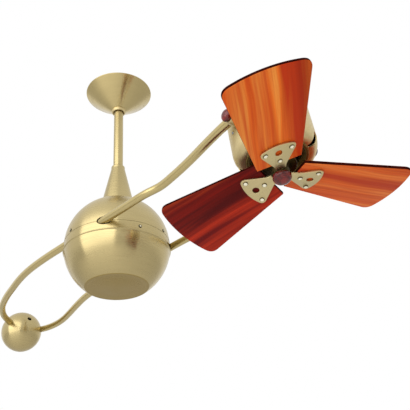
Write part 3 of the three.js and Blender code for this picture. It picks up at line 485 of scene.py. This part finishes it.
# ---------------------------------------------------------------- ceiling side
CANOPY_R = 76.2
CANOPY_H = 50
NECK_R = 15.9
NECK_H = 8.4
ROD_R = 10.65
canopy_profile = [
    (CANOPY_R - 2.2, 0), (CANOPY_R, 0), (CANOPY_R + 0.3, -1.6), (NECK_R + 1.2, -CANOPY_H + 1),
    (NECK_R - 0.4, -CANOPY_H), (NECK_R - 2.6, -CANOPY_H), (NECK_R - 2.6, -CANOPY_H + 1.3),
    (NECK_R - 0.6, -CANOPY_H + 1.9),
]
canopy_mesh = lathe("canopy_shell", canopy_profile, 0.5, 160)
place("canopy_shell", canopy_mesh, "hanger", canopy_brass, nodes=["canopy"])
neck_bottom = -CANOPY_H - NECK_H
neck_profile = [
    (ROD_R + 1.1, -CANOPY_H + 5), (ROD_R + 1.1, neck_bottom + 1), (ROD_R + 2.4, neck_bottom),
    (NECK_R - 1.4, neck_bottom), (NECK_R, neck_bottom + 1.8), (NECK_R, -CANOPY_H - 0.3),
    (NECK_R - 2.9, -CANOPY_H - 0.3), (NECK_R - 2.9, -CANOPY_H + 5),
]
place("neck_collar", lathe("neck_collar", neck_profile, 0.9, 96), "hanger", bright_brass,
      nodes=["canopy_neck_ring"])
rod_low = -SPHERE_DROP + 60
rod_profile = [(8.3, rod_low), (ROD_R, rod_low), (ROD_R, -6), (8.3, -6)]
place("downrod_pipe", lathe("downrod_pipe", rod_profile, 0.4, 96), "hanger", spun_brass, nodes=["downrod"])

# bell over the joint of rod and turret
SPHERE_R = 110
DOME_R = SPHERE_R - 1.0
BELL_TOP = 203
BELL_FOOT_R = 35
BELL_NECK_R = 15
BELL_SCREW_AZIMUTH = 152
bell_low = math.sqrt(DOME_R ** 2 - BELL_FOOT_R ** 2) + 1.0
bell_profile = [
    (BELL_FOOT_R, bell_low), (BELL_FOOT_R - 0.2, bell_low + 1.5), (BELL_NECK_R, BELL_TOP - 7),
    (BELL_NECK_R, BELL_TOP - 1.8), (BELL_NECK_R - 1.8, BELL_TOP), (ROD_R + GAP, BELL_TOP),
    (ROD_R + GAP, BELL_TOP - 7), (BELL_NECK_R - 1.6, BELL_TOP - 10), (BELL_FOOT_R - 1.8, bell_low + 1.5),
    (BELL_FOOT_R - 1.6, bell_low),
]
bell_mesh = lathe("bell_cone", bell_profile, 0.7, 128)
azimuth = math.radians(BELL_SCREW_AZIMUTH)
screw_way = Vector((math.cos(azimuth), math.sin(azimuth), 0))
screw_at = Vector((0, 0, BELL_TOP - 3.9))
set_screw_hole = rod_mesh("hole", screw_at + screw_way * 9, screw_at + screw_way * 18, 1.8, 24)
bell_mesh = carve(bell_mesh, [set_screw_hole])
place("bell_cone", bell_mesh, "hanger", spun_brass, AT_SPHERE, ["bell_cover"])

# ---------------------------------------------------------------- turret shells
SEAM_Z = -12.5
BAND_TOP_Z = 5
TUBE_R = 7.7
EXIT_R = TUBE_R + 1.6
HOLE_R = TUBE_R + GAP
HALF_CHORD = 118
CROSSING_LEFT = 85.8
CROSSING_RIGHT = 87.5
CROSSING_SLOPE = 0.18
DRUM_R = 68.4
BOSS_R = 12
BOSS_L = 16.6
PIVOT_HALF = DRUM_R + BOSS_L / 2 + 0.5
lean_turn = math.radians(HEAD_LEAN)
LEFT_Z = HEAD_Z + PIVOT_HALF * math.sin(lean_turn)
RIGHT_Z = HEAD_Z - PIVOT_HALF * math.sin(lean_turn)


def left_crossing(x):
    return -CROSSING_LEFT + CROSSING_SLOPE * x


def right_crossing(x):
    return CROSSING_RIGHT + CROSSING_SLOPE * x


def exit_tools(radius):
    tools = []
    for line, z in ((left_crossing, LEFT_Z), (right_crossing, RIGHT_Z)):
        ends = [(x, line(x), z) for x in (-HALF_CHORD, HALF_CHORD)]
        tools.append(rod_mesh("hole", *ends, radius, 64))
    return tools


dome_in = DOME_R - SHELL_WALL
DOME_EYE_R = 14
dome_top = math.sqrt(DOME_R ** 2 - DOME_EYE_R ** 2)
dome_profile = arc(DOME_R, BAND_TOP_Z + 0.6, dome_top, 48)
dome_profile += arc(dome_in, math.sqrt(dome_in ** 2 - DOME_EYE_R ** 2), BAND_TOP_Z, 24)
dome_profile += [(DOME_R - 0.55, BAND_TOP_Z), (DOME_R - 0.1, BAND_TOP_Z + 0.2)]
dome_mesh = carve(lathe("dome_shell", dome_profile, 0, 160), exit_tools(EXIT_R))
place("dome_shell", dome_mesh, "turret", spun_brass, AT_SPHERE, ["upper_dome"])

RING_R = DOME_R - 0.4
RING_LAP = 14
ring_profile = arc(RING_R, SEAM_Z + 0.8, BAND_TOP_Z - 0.2, 12)
ring_profile += arc(dome_in - 0.3, BAND_TOP_Z - 0.2, BAND_TOP_Z + RING_LAP, 8)
ring_profile += arc(dome_in - 1.3, BAND_TOP_Z + RING_LAP, BAND_TOP_Z - 1.2, 8)
ring_profile += arc(RING_R - 1.4, BAND_TOP_Z - 1.2, SEAM_Z + 0.8, 8)
ring_mesh = carve(lathe("seam_ring", ring_profile, 0, 160), exit_tools(EXIT_R))
place("seam_ring", ring_mesh, "turret", spun_brass, AT_SPHERE, ["cover_band"])

bowl_in = SPHERE_R - SHELL_WALL
FLAT_R = 58
turn_out = -math.sqrt(SPHERE_R ** 2 - (FLAT_R + 6) ** 2)
turn_in = -math.sqrt(bowl_in ** 2 - (FLAT_R + 5) ** 2)
bowl_profile = [(0, FLAT_Z - 1.5), (FLAT_R * 0.55, FLAT_Z - 1.1), (FLAT_R, FLAT_Z)]
bowl_profile += arc(SPHERE_R, turn_out, SEAM_Z - 3, 40)
bowl_profile += [
    (SPHERE_R + 0.6, SEAM_Z - 1.95), (SPHERE_R + 0.5, SEAM_Z - 0.6), (SPHERE_R - 0.4, SEAM_Z),
    (bowl_in - 0.4, SEAM_Z),
]
bowl_profile += arc(bowl_in, SEAM_Z - 3, turn_in, 20)
bowl_profile += [(FLAT_R, FLAT_Z + 1.4), (0, FLAT_Z + 0.1)]
place("bowl_shell", lathe("bowl_shell", bowl_profile, 1.2, 160), "turret", bowl_brass, AT_SPHERE,
      ["lower_bowl"])


# ---------------------------------------------------------------- screws
def screw_mesh(name, radius, height, cross=True):
    """Domed screw head on the XY plane, rising along +Z, with a slot or a cross cut in it."""
    rise = [(0, -2.0), (radius * 0.5, -2.0), (radius * 0.5, 0), (radius, 0)]
    for k in range(1, 7):
        a = math.pi / 2 * k / 6
        rise.append((radius * math.cos(a) if k < 6 else 0, height * math.sin(a)))
    mesh = lathe(name, rise, 0, 40, 40)
    cuts = []
    for turn in ((0, 90) if cross else (0,)):
        bm = bmesh.new()
        size = Matrix.Diagonal((radius * 1.25 * MM, radius * 0.3 * MM, height * MM, 1))
        middle = Matrix.Translation((0, 0, height * MM))
        spin = Matrix.Rotation(math.radians(turn + 20), 4, "Z")
        bmesh.ops.create_cube(bm, size=1, matrix=spin @ middle @ size)
        cuts.append(closed(bm, "slot"))
    return carve(mesh, cuts, 40)


def facing(point, direction):
    """Matrix that stands +Z along direction at a point in millimetres."""
    turn = Vector(direction).to_track_quat("Z", "Y").to_matrix().to_4x4()
    return Matrix.Translation(Vector(point) * MM) @ turn


# azimuth, height and the sphere that each screw stands on
BAND_SCREWS = ((-86, 10, DOME_R), (-3.5, -4, RING_R), (31, 10, DOME_R),
               (94, 10, DOME_R), (176.5, -4, RING_R), (211, 10, DOME_R))
for index, (degrees, z, surface) in enumerate(BAND_SCREWS):
    a = math.radians(degrees)
    flat = math.sqrt(surface ** 2 - z ** 2)
    point = Vector((math.cos(a) * flat, math.sin(a) * flat, z))
    way = point.normalized()
    place(f"band_screw_head_{index + 1}", screw_mesh("band_screw", *BAND_SCREW_SIZE, False), "turret",
          band_screw_metal, AT_SPHERE @ facing(point, way), [f"band_screw_{index + 1}"])

# ---------------------------------------------------------------- tubes
INNER_Y = 35.5
LEFT_BOW_Y = 117.2
RIGHT_BOW_Y = 121
BALL_AT = Vector((-525, -4.8, -5.5))
BALL_R = 50.6
SET_SCREW_HOLE_R = 5.3
SET_SCREW_DEPTH = 18
near_y = HEAD_Y - PIVOT_HALF * math.cos(lean_turn)
far_y = HEAD_Y + PIVOT_HALF * math.cos(lean_turn)
tube_end = HEAD_X - BOSS_R + 5


def to_head(share):
    return HALF_CHORD + share * (HEAD_X - HALF_CHORD)


def to_ball(share):
    return -HALF_CHORD + share * (BALL_AT.x + HALF_CHORD)


left_plan = [
    (tube_end, near_y), (HEAD_X - 34, near_y), (to_head(0.78), -INNER_Y - 2.6), (to_head(0.613), -INNER_Y),
    (to_head(0.466), -INNER_Y), (to_head(0.349), -INNER_Y - 2.5),
    (to_head(0.231), left_crossing(to_head(0.231)) + 0.5), (to_head(0.07), left_crossing(to_head(0.07))),
    (59, left_crossing(59)), (-59, left_crossing(-59)), (-HALF_CHORD, left_crossing(-HALF_CHORD)),
    (to_ball(0.154), -LEFT_BOW_Y + 2), (to_ball(0.29), -LEFT_BOW_Y), (to_ball(0.439), -LEFT_BOW_Y + 3.5),
    (to_ball(0.588), -LEFT_BOW_Y + 9.1), (to_ball(0.724), -LEFT_BOW_Y + 20.2),
    (to_ball(0.838), -LEFT_BOW_Y + 40.3), (BALL_AT.x + 40.5, BALL_AT.y - 53.7),
    (BALL_AT.x + 28, BALL_AT.y - 42.9), (BALL_AT.x + 14.5, BALL_AT.y - 30.7),
    (BALL_AT.x - 5.7, BALL_AT.y - 12.5),
]
right_plan = [
    (tube_end, far_y), (HEAD_X - 34, far_y), (to_head(0.734), RIGHT_BOW_Y - 4.5),
    (to_head(0.53), RIGHT_BOW_Y - 1.3), (to_head(0.312), RIGHT_BOW_Y), (to_head(0.122), RIGHT_BOW_Y - 3),
    (89.7, right_crossing(89.7)), (29.5, right_crossing(29.5)), (-59, right_crossing(-59)),
    (-HALF_CHORD, right_crossing(-HALF_CHORD)), (to_ball(0.1155), 58), (to_ball(0.226), 52.6),
    (to_ball(0.3415), 50), (to_ball(0.4717), 53), (to_ball(0.5995), 58), (to_ball(0.705), 61),
    (to_ball(0.791), 59), (BALL_AT.x + 55, BALL_AT.y + 57), (BALL_AT.x + 39, BALL_AT.y + 50.3),
    (BALL_AT.x + 26.5, BALL_AT.y + 43.05), (BALL_AT.x + 7, BALL_AT.y + 31.74),
]


def smooth_line(plan, per_span=9):
    """Centripetal Catmull-Rom line through plan points."""
    p = [Vector((x, y, 0)) for x, y in plan]
    p = [p[0] * 2 - p[1], *p, p[-1] * 2 - p[-2]]
    line = []
    for i in range(1, len(p) - 2):
        a, b, c, d = p[i - 1:i + 3]
        t0 = 0.0
        t1 = t0 + (b - a).length ** 0.5
        t2 = t1 + (c - b).length ** 0.5
        t3 = t2 + (d - c).length ** 0.5
        for k in range(per_span):
            t = t1 + (t2 - t1) * k / per_span
            a1 = a * ((t1 - t) / (t1 - t0)) + b * ((t - t0) / (t1 - t0))
            a2 = b * ((t2 - t) / (t2 - t1)) + c * ((t - t1) / (t2 - t1))
            a3 = c * ((t3 - t) / (t3 - t2)) + d * ((t - t2) / (t3 - t2))
            b1 = a1 * ((t2 - t) / (t2 - t0)) + a2 * ((t - t0) / (t2 - t0))
            b2 = a2 * ((t3 - t) / (t3 - t1)) + a3 * ((t - t1) / (t3 - t1))
            line.append(b1 * ((t2 - t) / (t2 - t1)) + b2 * ((t - t1) / (t2 - t1)))
    line.append(p[-2])
    return line


def tube_mesh(name, plan, radius, sides=32):
    line = smooth_line(plan)
    bm = bmesh.new()
    rings = []
    for i, point in enumerate(line):
        along = (line[min(i + 1, len(line) - 1)] - line[max(i - 1, 0)]).normalized()
        side = Vector((0, 0, 1)).cross(along).normalized()
        ring = []
        for k in range(sides):
            a = 2 * math.pi * k / sides
            offset = side * math.cos(a) * radius + Vector((0, 0, 1)) * math.sin(a) * radius
            ring.append(bm.verts.new((point + offset) * MM))
        rings.append(ring)
    for low, high in zip(rings, rings[1:]):
        for k in range(sides):
            after = (k + 1) % sides
            bm.faces.new((low[k], low[after], high[after], high[k]))
    bm.faces.new(rings[0])
    bm.faces.new(rings[-1])
    return closed(bm, name, 50)


for name, plan, z in (("left", left_plan, LEFT_Z), ("right", right_plan, RIGHT_Z)):
    place(f"bent_tube_{name}", tube_mesh("bent_tube", plan, TUBE_R), "turret", drawn_brass,
          AT_SPHERE @ Matrix.Translation((0, 0, z * MM)), [f"tube_{name}"])

# ---------------------------------------------------------------- counterweight ball
ball_profile = [(0, -BALL_R)] + arc(BALL_R, -BALL_R * 0.999, BALL_R * 0.999, 72) + [(0, BALL_R)]
ball_tools = []
for plan, z in ((left_plan, LEFT_Z), (right_plan, RIGHT_Z)):
    (x0, y0), (x1, y1) = plan[-2:]
    start = Vector((x0, y0, z)) - BALL_AT
    end = Vector((x1, y1, z)) - BALL_AT
    way = (end - start).normalized()
    ball_tools.append(rod_mesh("hole", start - way * 30, end + way * GAP, HOLE_R, 48))
screw_way = Vector((0.911, 0.05, 0.41)).normalized()
screw_hole_ends = (screw_way * (BALL_R - SET_SCREW_DEPTH), screw_way * (BALL_R + 5))
ball_tools.append(rod_mesh("hole", *screw_hole_ends, SET_SCREW_HOLE_R, 48))
ball_mesh = carve(lathe("weight_ball", ball_profile, 0, 128), ball_tools)
place("weight_ball", ball_mesh, "turret", spun_brass, AT_SPHERE @ Matrix.Translation(BALL_AT * MM),
      ["counterweight_ball"])

# ---------------------------------------------------------------- pivots and knobs
STUD_R = 4
KNOB_R = 10.8
KNOB_L = 10.5
boss_profile = [
    (STUD_R + 0.25, -BOSS_L / 2), (BOSS_R, -BOSS_L / 2), (BOSS_R, BOSS_L / 2), (STUD_R + 0.25, BOSS_L / 2),
]
knob_profile = [
    (0, 0), (KNOB_R - 1.6, 0), (KNOB_R, 2.4), (KNOB_R - 0.4, 5.6), (KNOB_R - 2.4, 8.4), (KNOB_R - 5.8, 10.1),
    (0, KNOB_L),
]
for name, side, y, z in (("left", -1, near_y, LEFT_Z), ("right", 1, far_y, RIGHT_Z)):
    hole_from = (tube_end - BOSS_R * 2 - HEAD_X, 0, 0)
    hole_to = (tube_end + GAP - HEAD_X, 0, 0)
    tool = rod_mesh("hole", hole_from, hole_to, HOLE_R)
    eye = lathe("pivot_eye", boss_profile, 1.4, 96)
    eye.transform(LEAN @ Matrix.Rotation(math.radians(90), 4, "X"))
    eye = carve(eye, [tool])
    at = AT_SPHERE @ Matrix.Translation(Vector((HEAD_X, y, z)) * MM)
    place(f"pivot_eye_{name}", eye, "turret", bright_brass, at, [f"pivot_boss_{name}"])
    knob = lathe("lock_knob", knob_profile, 1.0, 96)
    knob_at = Vector((0, side * (PIVOT_HALF + BOSS_L / 2 + 0.3), 0)) * MM
    lying = Matrix.Rotation(math.radians(-90 * side), 4, "X")
    place(f"lock_knob_{name}", knob, f"knob_{name}", turned_wood,
          AT_HEAD @ Matrix.Translation(knob_at) @ lying, [f"tilt_knob_{name}"])

# ---------------------------------------------------------------- motor drum
DRUM_WALL = 2.2
SHOULDER_Z = -32
LIP_R = 48.5
LIP_Z = -55
DRUM_TOP_Z = 44
shoulder = [
    (DRUM_R, SHOULDER_Z), (DRUM_R - 1.2, SHOULDER_Z - 9), (DRUM_R - 4.8, SHOULDER_Z - 17),
    (DRUM_R - 11.5, SHOULDER_Z - 22.4), (LIP_R, LIP_Z),
]
inner = []
for r, z in shoulder:
    t = min(1, max(0, (SHOULDER_Z - z) / (SHOULDER_Z - LIP_Z)))
    inner.append((r - DRUM_WALL * (1 - t), z + DRUM_WALL * t))
drum_profile = [(DRUM_R - DRUM_WALL, DRUM_TOP_Z), (DRUM_R, DRUM_TOP_Z), *shoulder, *reversed(inner)]
VENT_TURN = 31
DRUM_SCREW_AZIMUTHS = (-106, -74, 74, 106)
DRUM_SCREW_Z = -10.5
VENT_OUTLINE = [(LIP_R + 2.5, -2.5), (DRUM_R + 4, -8), (DRUM_R + 4, 8), (LIP_R + 2.5, 2.5)]


def prism(outline, low, high, turn):
    bm = bmesh.new()
    spin = Matrix.Rotation(math.radians(turn), 4, "Z")
    bottom = [bm.verts.new(spin @ Vector((x * MM, y * MM, low * MM))) for x, y in outline]
    top = [bm.verts.new(spin @ Vector((x * MM, y * MM, high * MM))) for x, y in outline]
    bm.faces.new(list(reversed(bottom)))
    bm.faces.new(top)
    for k in range(len(outline)):
        after = (k + 1) % len(outline)
        bm.faces.new((bottom[k], bottom[after], top[after], top[k]))
    return closed(bm, "prism")


rounded_vent = [tuple(p) for p in softened(VENT_OUTLINE, 2.0, True, 4)]
drum_tools = [prism(rounded_vent, -65, -35, VENT_TURN + 90 * k) for k in range(4)]
drum_tools.append(rod_mesh("hole", (0, -DRUM_R - 2, 0), (0, DRUM_R + 2, 0), STUD_R + GAP, 32))
drum_mesh = carve(lathe("motor_drum", drum_profile, 5.5, 160), drum_tools)
place("motor_drum", drum_mesh, "head", bright_brass, AT_HEAD, ["motor_housing"])

bezel_profile = [
    (LIP_R - 0.3, LIP_Z + 3), (LIP_R - 0.3, LIP_Z - 0.3), (LIP_R + 1.6, LIP_Z - 0.3),
    (LIP_R + 0.6, LIP_Z - 2.4), (LIP_R - 2.6, LIP_Z - 2), (LIP_R - 7.5, LIP_Z + 6),
    (LIP_R - 8.5, LIP_Z + 12), (LIP_R - 6.8, LIP_Z + 12), (LIP_R - 5.6, LIP_Z + 6.6),
]
place("funnel_bezel", lathe("funnel_bezel", bezel_profile, 0.8, 128), "head", funnel_brass, AT_HEAD,
      ["bezel_ring"])
rear_profile = [
    (0, DRUM_TOP_Z + 16), (30, DRUM_TOP_Z + 15.3), (52, DRUM_TOP_Z + 11.6), (65, DRUM_TOP_Z + 5),
    (DRUM_R, DRUM_TOP_Z + 0.3), (DRUM_R - DRUM_WALL, DRUM_TOP_Z + 0.3), (50, DRUM_TOP_Z + 9),
    (0, DRUM_TOP_Z + 13),
]
place("rear_dish", lathe("rear_dish", rear_profile, 5.0, 128), "head", bright_brass, AT_HEAD, ["rear_cover"])
for index, degrees in enumerate(DRUM_SCREW_AZIMUTHS):
    a = math.radians(degrees)
    way = Vector((math.cos(a), math.sin(a), 0))
    at = facing(way * (DRUM_R + 0.1) + Vector((0, 0, DRUM_SCREW_Z)), way)
    place(f"drum_screw_{index + 1}", screw_mesh("drum_screw", *DRUM_SCREW_SIZE), "head", steel, AT_HEAD @ at,
          [f"housing_screw_{index + 1}"])

# ---------------------------------------------------------------- hub, irons, blades
BLADE_PLANE_Z = -85.9
BLADE_T = 6
BLADE_TIP_R = 207.8
BLADE_TIP_HALF = 66.9
BLADE_ROOT_R = 22.8
BLADE_ROOT_HALF = 36.6
BLADE_CORNER = 14.2
BLADE_PITCH = 12
BLADE_AZIMUTH = (-44.3, 75.7, 195.7)
BLADE_BEVEL = 1.2
IRON_T = 3.6
IRON_BEVEL = 0.5
IRON_HOLE_AT = 49.5
IRON_HOLE_R = 5.6
EDGE_NORMAL = 0.6
CAP_R = 15.2
HUB_PLATE_R = 28
HUB_PLATE_TOP = -68


def bezier(a, b, c, steps=10):
    out = []
    for k in range(steps + 1):
        t = k / steps
        out.append(tuple(Vector(a) * (1 - t) ** 2 + Vector(b) * 2 * t * (1 - t) + Vector(c) * t * t))
    return out


def blade_outline():
    chord = math.sqrt(BLADE_TIP_R ** 2 - BLADE_TIP_HALF ** 2)
    tip = math.atan2(BLADE_TIP_HALF, chord) - BLADE_CORNER / BLADE_TIP_R
    edge = Vector((chord - BLADE_ROOT_R, BLADE_TIP_HALF - BLADE_ROOT_HALF)).normalized()
    side = (chord - edge.x * BLADE_CORNER, BLADE_TIP_HALF - edge.y * BLADE_CORNER)
    end = (BLADE_TIP_R * math.cos(tip), BLADE_TIP_R * math.sin(tip))
    top = [(BLADE_ROOT_R, BLADE_ROOT_HALF)] + bezier(side, (chord, BLADE_TIP_HALF), end)
    bottom = [(x, -y) for x, y in reversed(top)]
    steps = 28
    tips = []
    for k in range(1, steps):
        a = tip - 2 * tip * k / steps
        tips.append((BLADE_TIP_R * math.cos(a), BLADE_TIP_R * math.sin(a)))
    return list(reversed(top + tips + bottom))


def iron_outline():
    points = [(13.5, -8), (22, -10), (50, -27)]
    points += bezier((50, -27), (59, -31), (61.5, -22))[1:]
    points += bezier((61.5, -22), (69.5, 0), (61.5, 22), 16)[1:]
    points += bezier((61.5, 22), (59, 31), (50, 27))[1:]
    points += [(22, 10), (13.5, 8)]
    return points


def circle(x, y, radius, count=40):
    turns = [-2 * math.pi * k / count for k in range(count)]
    return [(x + radius * math.cos(a), y + radius * math.sin(a)) for a in turns]


SCREW_SPOTS = ((53.5, 21), (53.5, -21), (32.5, 0))
HUB_PLATE_T = 5
room_r = HUB_PLATE_R + GAP
room_low = HUB_PLATE_TOP - HUB_PLATE_T - GAP
room_top = HUB_PLATE_TOP + GAP
hub_room = lathe("hub_room", [(0, room_low), (room_r, room_low), (room_r, room_top), (0, room_top)], 0, 96)
for index, azimuth in enumerate(BLADE_AZIMUTH):
    turn = Matrix.Rotation(math.radians(azimuth), 4, "Z")
    pitch = Matrix.Rotation(math.radians(BLADE_PITCH), 4, "X")
    plane = turn @ Matrix.Translation((0, 0, BLADE_PLANE_Z * MM)) @ pitch
    at = AT_HEAD @ plane
    blade = outline_solid("fan_blade", [blade_outline()], BLADE_T, BLADE_BEVEL, GAP)
    tool = hub_room.copy()
    tool.transform(plane.inverted())
    blade = carve(blade, [tool], 40)
    place(f"fan_blade_{index + 1}", blade, "fan", blade_woods[index], at, [f"blade_{index + 1}"])
    blade.materials.append(edge_wood)
    for face in blade.polygons:
        if abs(face.normal.z) < EDGE_NORMAL:
            face.material_index = 1
    iron_lines = [iron_outline(), circle(IRON_HOLE_AT, 0, IRON_HOLE_R)]
    iron = outline_solid("fan_iron", iron_lines, IRON_T, IRON_BEVEL, -IRON_T)
    place(f"fan_iron_{index + 1}", iron, "fan", cast_brass, at, [f"blade_iron_{index + 1}"])
    for spot, (x, y) in enumerate(SCREW_SPOTS):
        down = at @ facing((x, y, -IRON_T), (0, 0, -1))
        place(f"iron_screw_{index + 1}_{spot + 1}", screw_mesh("iron_screw", *IRON_SCREW_SIZE), "fan",
              iron_screw_metal, down)

SHAFT_R = 6
HUB_NECK_R = 14
hub_low = BLADE_PLANE_Z - IRON_T - 1.0
hub_profile = [
    (SHAFT_R + 0.2, hub_low), (HUB_NECK_R, hub_low), (HUB_NECK_R, HUB_PLATE_TOP - HUB_PLATE_T),
    (HUB_PLATE_R, HUB_PLATE_TOP - HUB_PLATE_T), (HUB_PLATE_R, HUB_PLATE_TOP),
    (SHAFT_R + 0.2, HUB_PLATE_TOP),
]
# the hub flange wears the darkened brass of painted shade
place("hub_flange", lathe("hub_flange", hub_profile, 1.4, 96), "fan", hub_brass_painted_shade, AT_HEAD, ["hub_plate"])
cap_base = hub_low - GAP
cap_profile = [(0, cap_base), (CAP_R - 2, cap_base), (CAP_R - 0.4, cap_base - 1.5)]
for step in range(19):
    a = math.pi / 2 * step / 18
    cap_profile.append((CAP_R * math.cos(a) if step < 18 else 0, cap_base - 3.6 - 10.2 * math.sin(a)))
place("wood_cap", lathe("wood_cap", cap_profile, 0.4, 96), "fan", turned_wood, AT_HEAD, ["hub_cap"])

# ---------------------------------------------------------------- CAD nodes that stay
KEPT = {
    steel: [
        "ceiling_bracket", "bracket_pin", "spindle", "spindle_nut", "bell_set_screw", "turret_frame",
        "bearing_upper", "bearing_lower", "tube_clamp_left", "tube_clamp_right", "clamp_screw_left",
        "clamp_screw_right", "front_spider", "pivot_stud_left", "pivot_stud_right", "rotor_core",
        "rotor_shaft",
    ],
    dark_iron: ["slip_ring_housing", "ball_set_screw", "stator_core"],
    copper_wire: ["winding_front", "winding_rear"],
    spun_brass: ["canopy_screw_1", "canopy_screw_2"],
}
for material, names in KEPT.items():
    for name in names:
        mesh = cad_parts[name].data
        mesh.materials.clear()
        mesh.materials.append(material)


# ---------------------------------------------------------------- stage and light
def stage_floor():
    bm = bmesh.new()
    bmesh.ops.create_grid(bm, x_segments=1, y_segments=1, size=FLOOR_HALF)
    mesh = bpy.data.meshes.new("floor")
    bm.to_mesh(mesh)
    bm.free()
    floor = bpy.data.objects.new("floor", mesh)
    floor.location = (0, 0, FLOOR_Z)
    n = Nodes("floor_paint")
    n.link(n.ramp(n.noise(n.mapped((3, 3, 3))), [(0.3, srgb(240, 239, 237)), (0.7, srgb(244, 243, 241))]),
           n.shader.inputs["Base Color"])
    n.shader.inputs["Roughness"].default_value = 0.9
    mesh.materials.append(n.material)
    bpy.context.scene.collection.objects.link(floor)


LAMP_AIM = Vector((0.1, 0, -0.42))


def area_light(name, azimuth, elevation, distance, width, height, radiance):
    """Rectangular soft lamp at an azimuth and elevation from the object, facing it."""
    data = bpy.data.lights.new(name, "AREA")
    data.shape = "RECTANGLE"
    data.size = width
    data.size_y = height
    data.energy = radiance * width * height * math.pi
    lamp = bpy.data.objects.new(name, data)
    a, e = math.radians(azimuth), math.radians(elevation)
    way = Vector((math.cos(a) * math.cos(e), math.sin(a) * math.cos(e), math.sin(e)))
    lamp.location = LAMP_AIM + way * distance
    lamp.rotation_mode = "QUATERNION"
    lamp.rotation_quaternion = (-way).to_track_quat("-Z", "Y")
    bpy.context.scene.collection.objects.link(lamp)


def set_world():
    world = bpy.data.worlds.new("studio")
    bpy.context.scene.world = world
    world.use_nodes = True
    tree = world.node_tree
    background = tree.nodes["Background"]
    background.inputs["Color"].default_value = (1, 1, 1, 1)
    path = tree.nodes.new("ShaderNodeLightPath")
    seen = tree.nodes.new("ShaderNodeMath")
    seen.operation = "MAXIMUM"
    tree.links.new(path.outputs["Is Camera Ray"], seen.inputs[0])
    tree.links.new(path.outputs["Is Glossy Ray"], seen.inputs[1])
    seen_through = tree.nodes.new("ShaderNodeMath")
    seen_through.operation = "MAXIMUM"
    tree.links.new(seen.outputs[0], seen_through.inputs[0])
    tree.links.new(path.outputs["Is Transmission Ray"], seen_through.inputs[1])
    strength = tree.nodes.new("ShaderNodeMapRange")
    strength.inputs["To Min"].default_value = WORLD_STRENGTH
    strength.inputs["To Max"].default_value = 1.0
    tree.links.new(seen_through.outputs[0], strength.inputs["Value"])
    tree.links.new(strength.outputs["Result"], background.inputs["Strength"])


stage_floor()
set_world()
area_light("softbox", azimuth=-70, elevation=14, distance=2.6, width=4.0, height=3.2, radiance=1.7)
bpy.context.scene.view_settings.view_transform = "Standard"
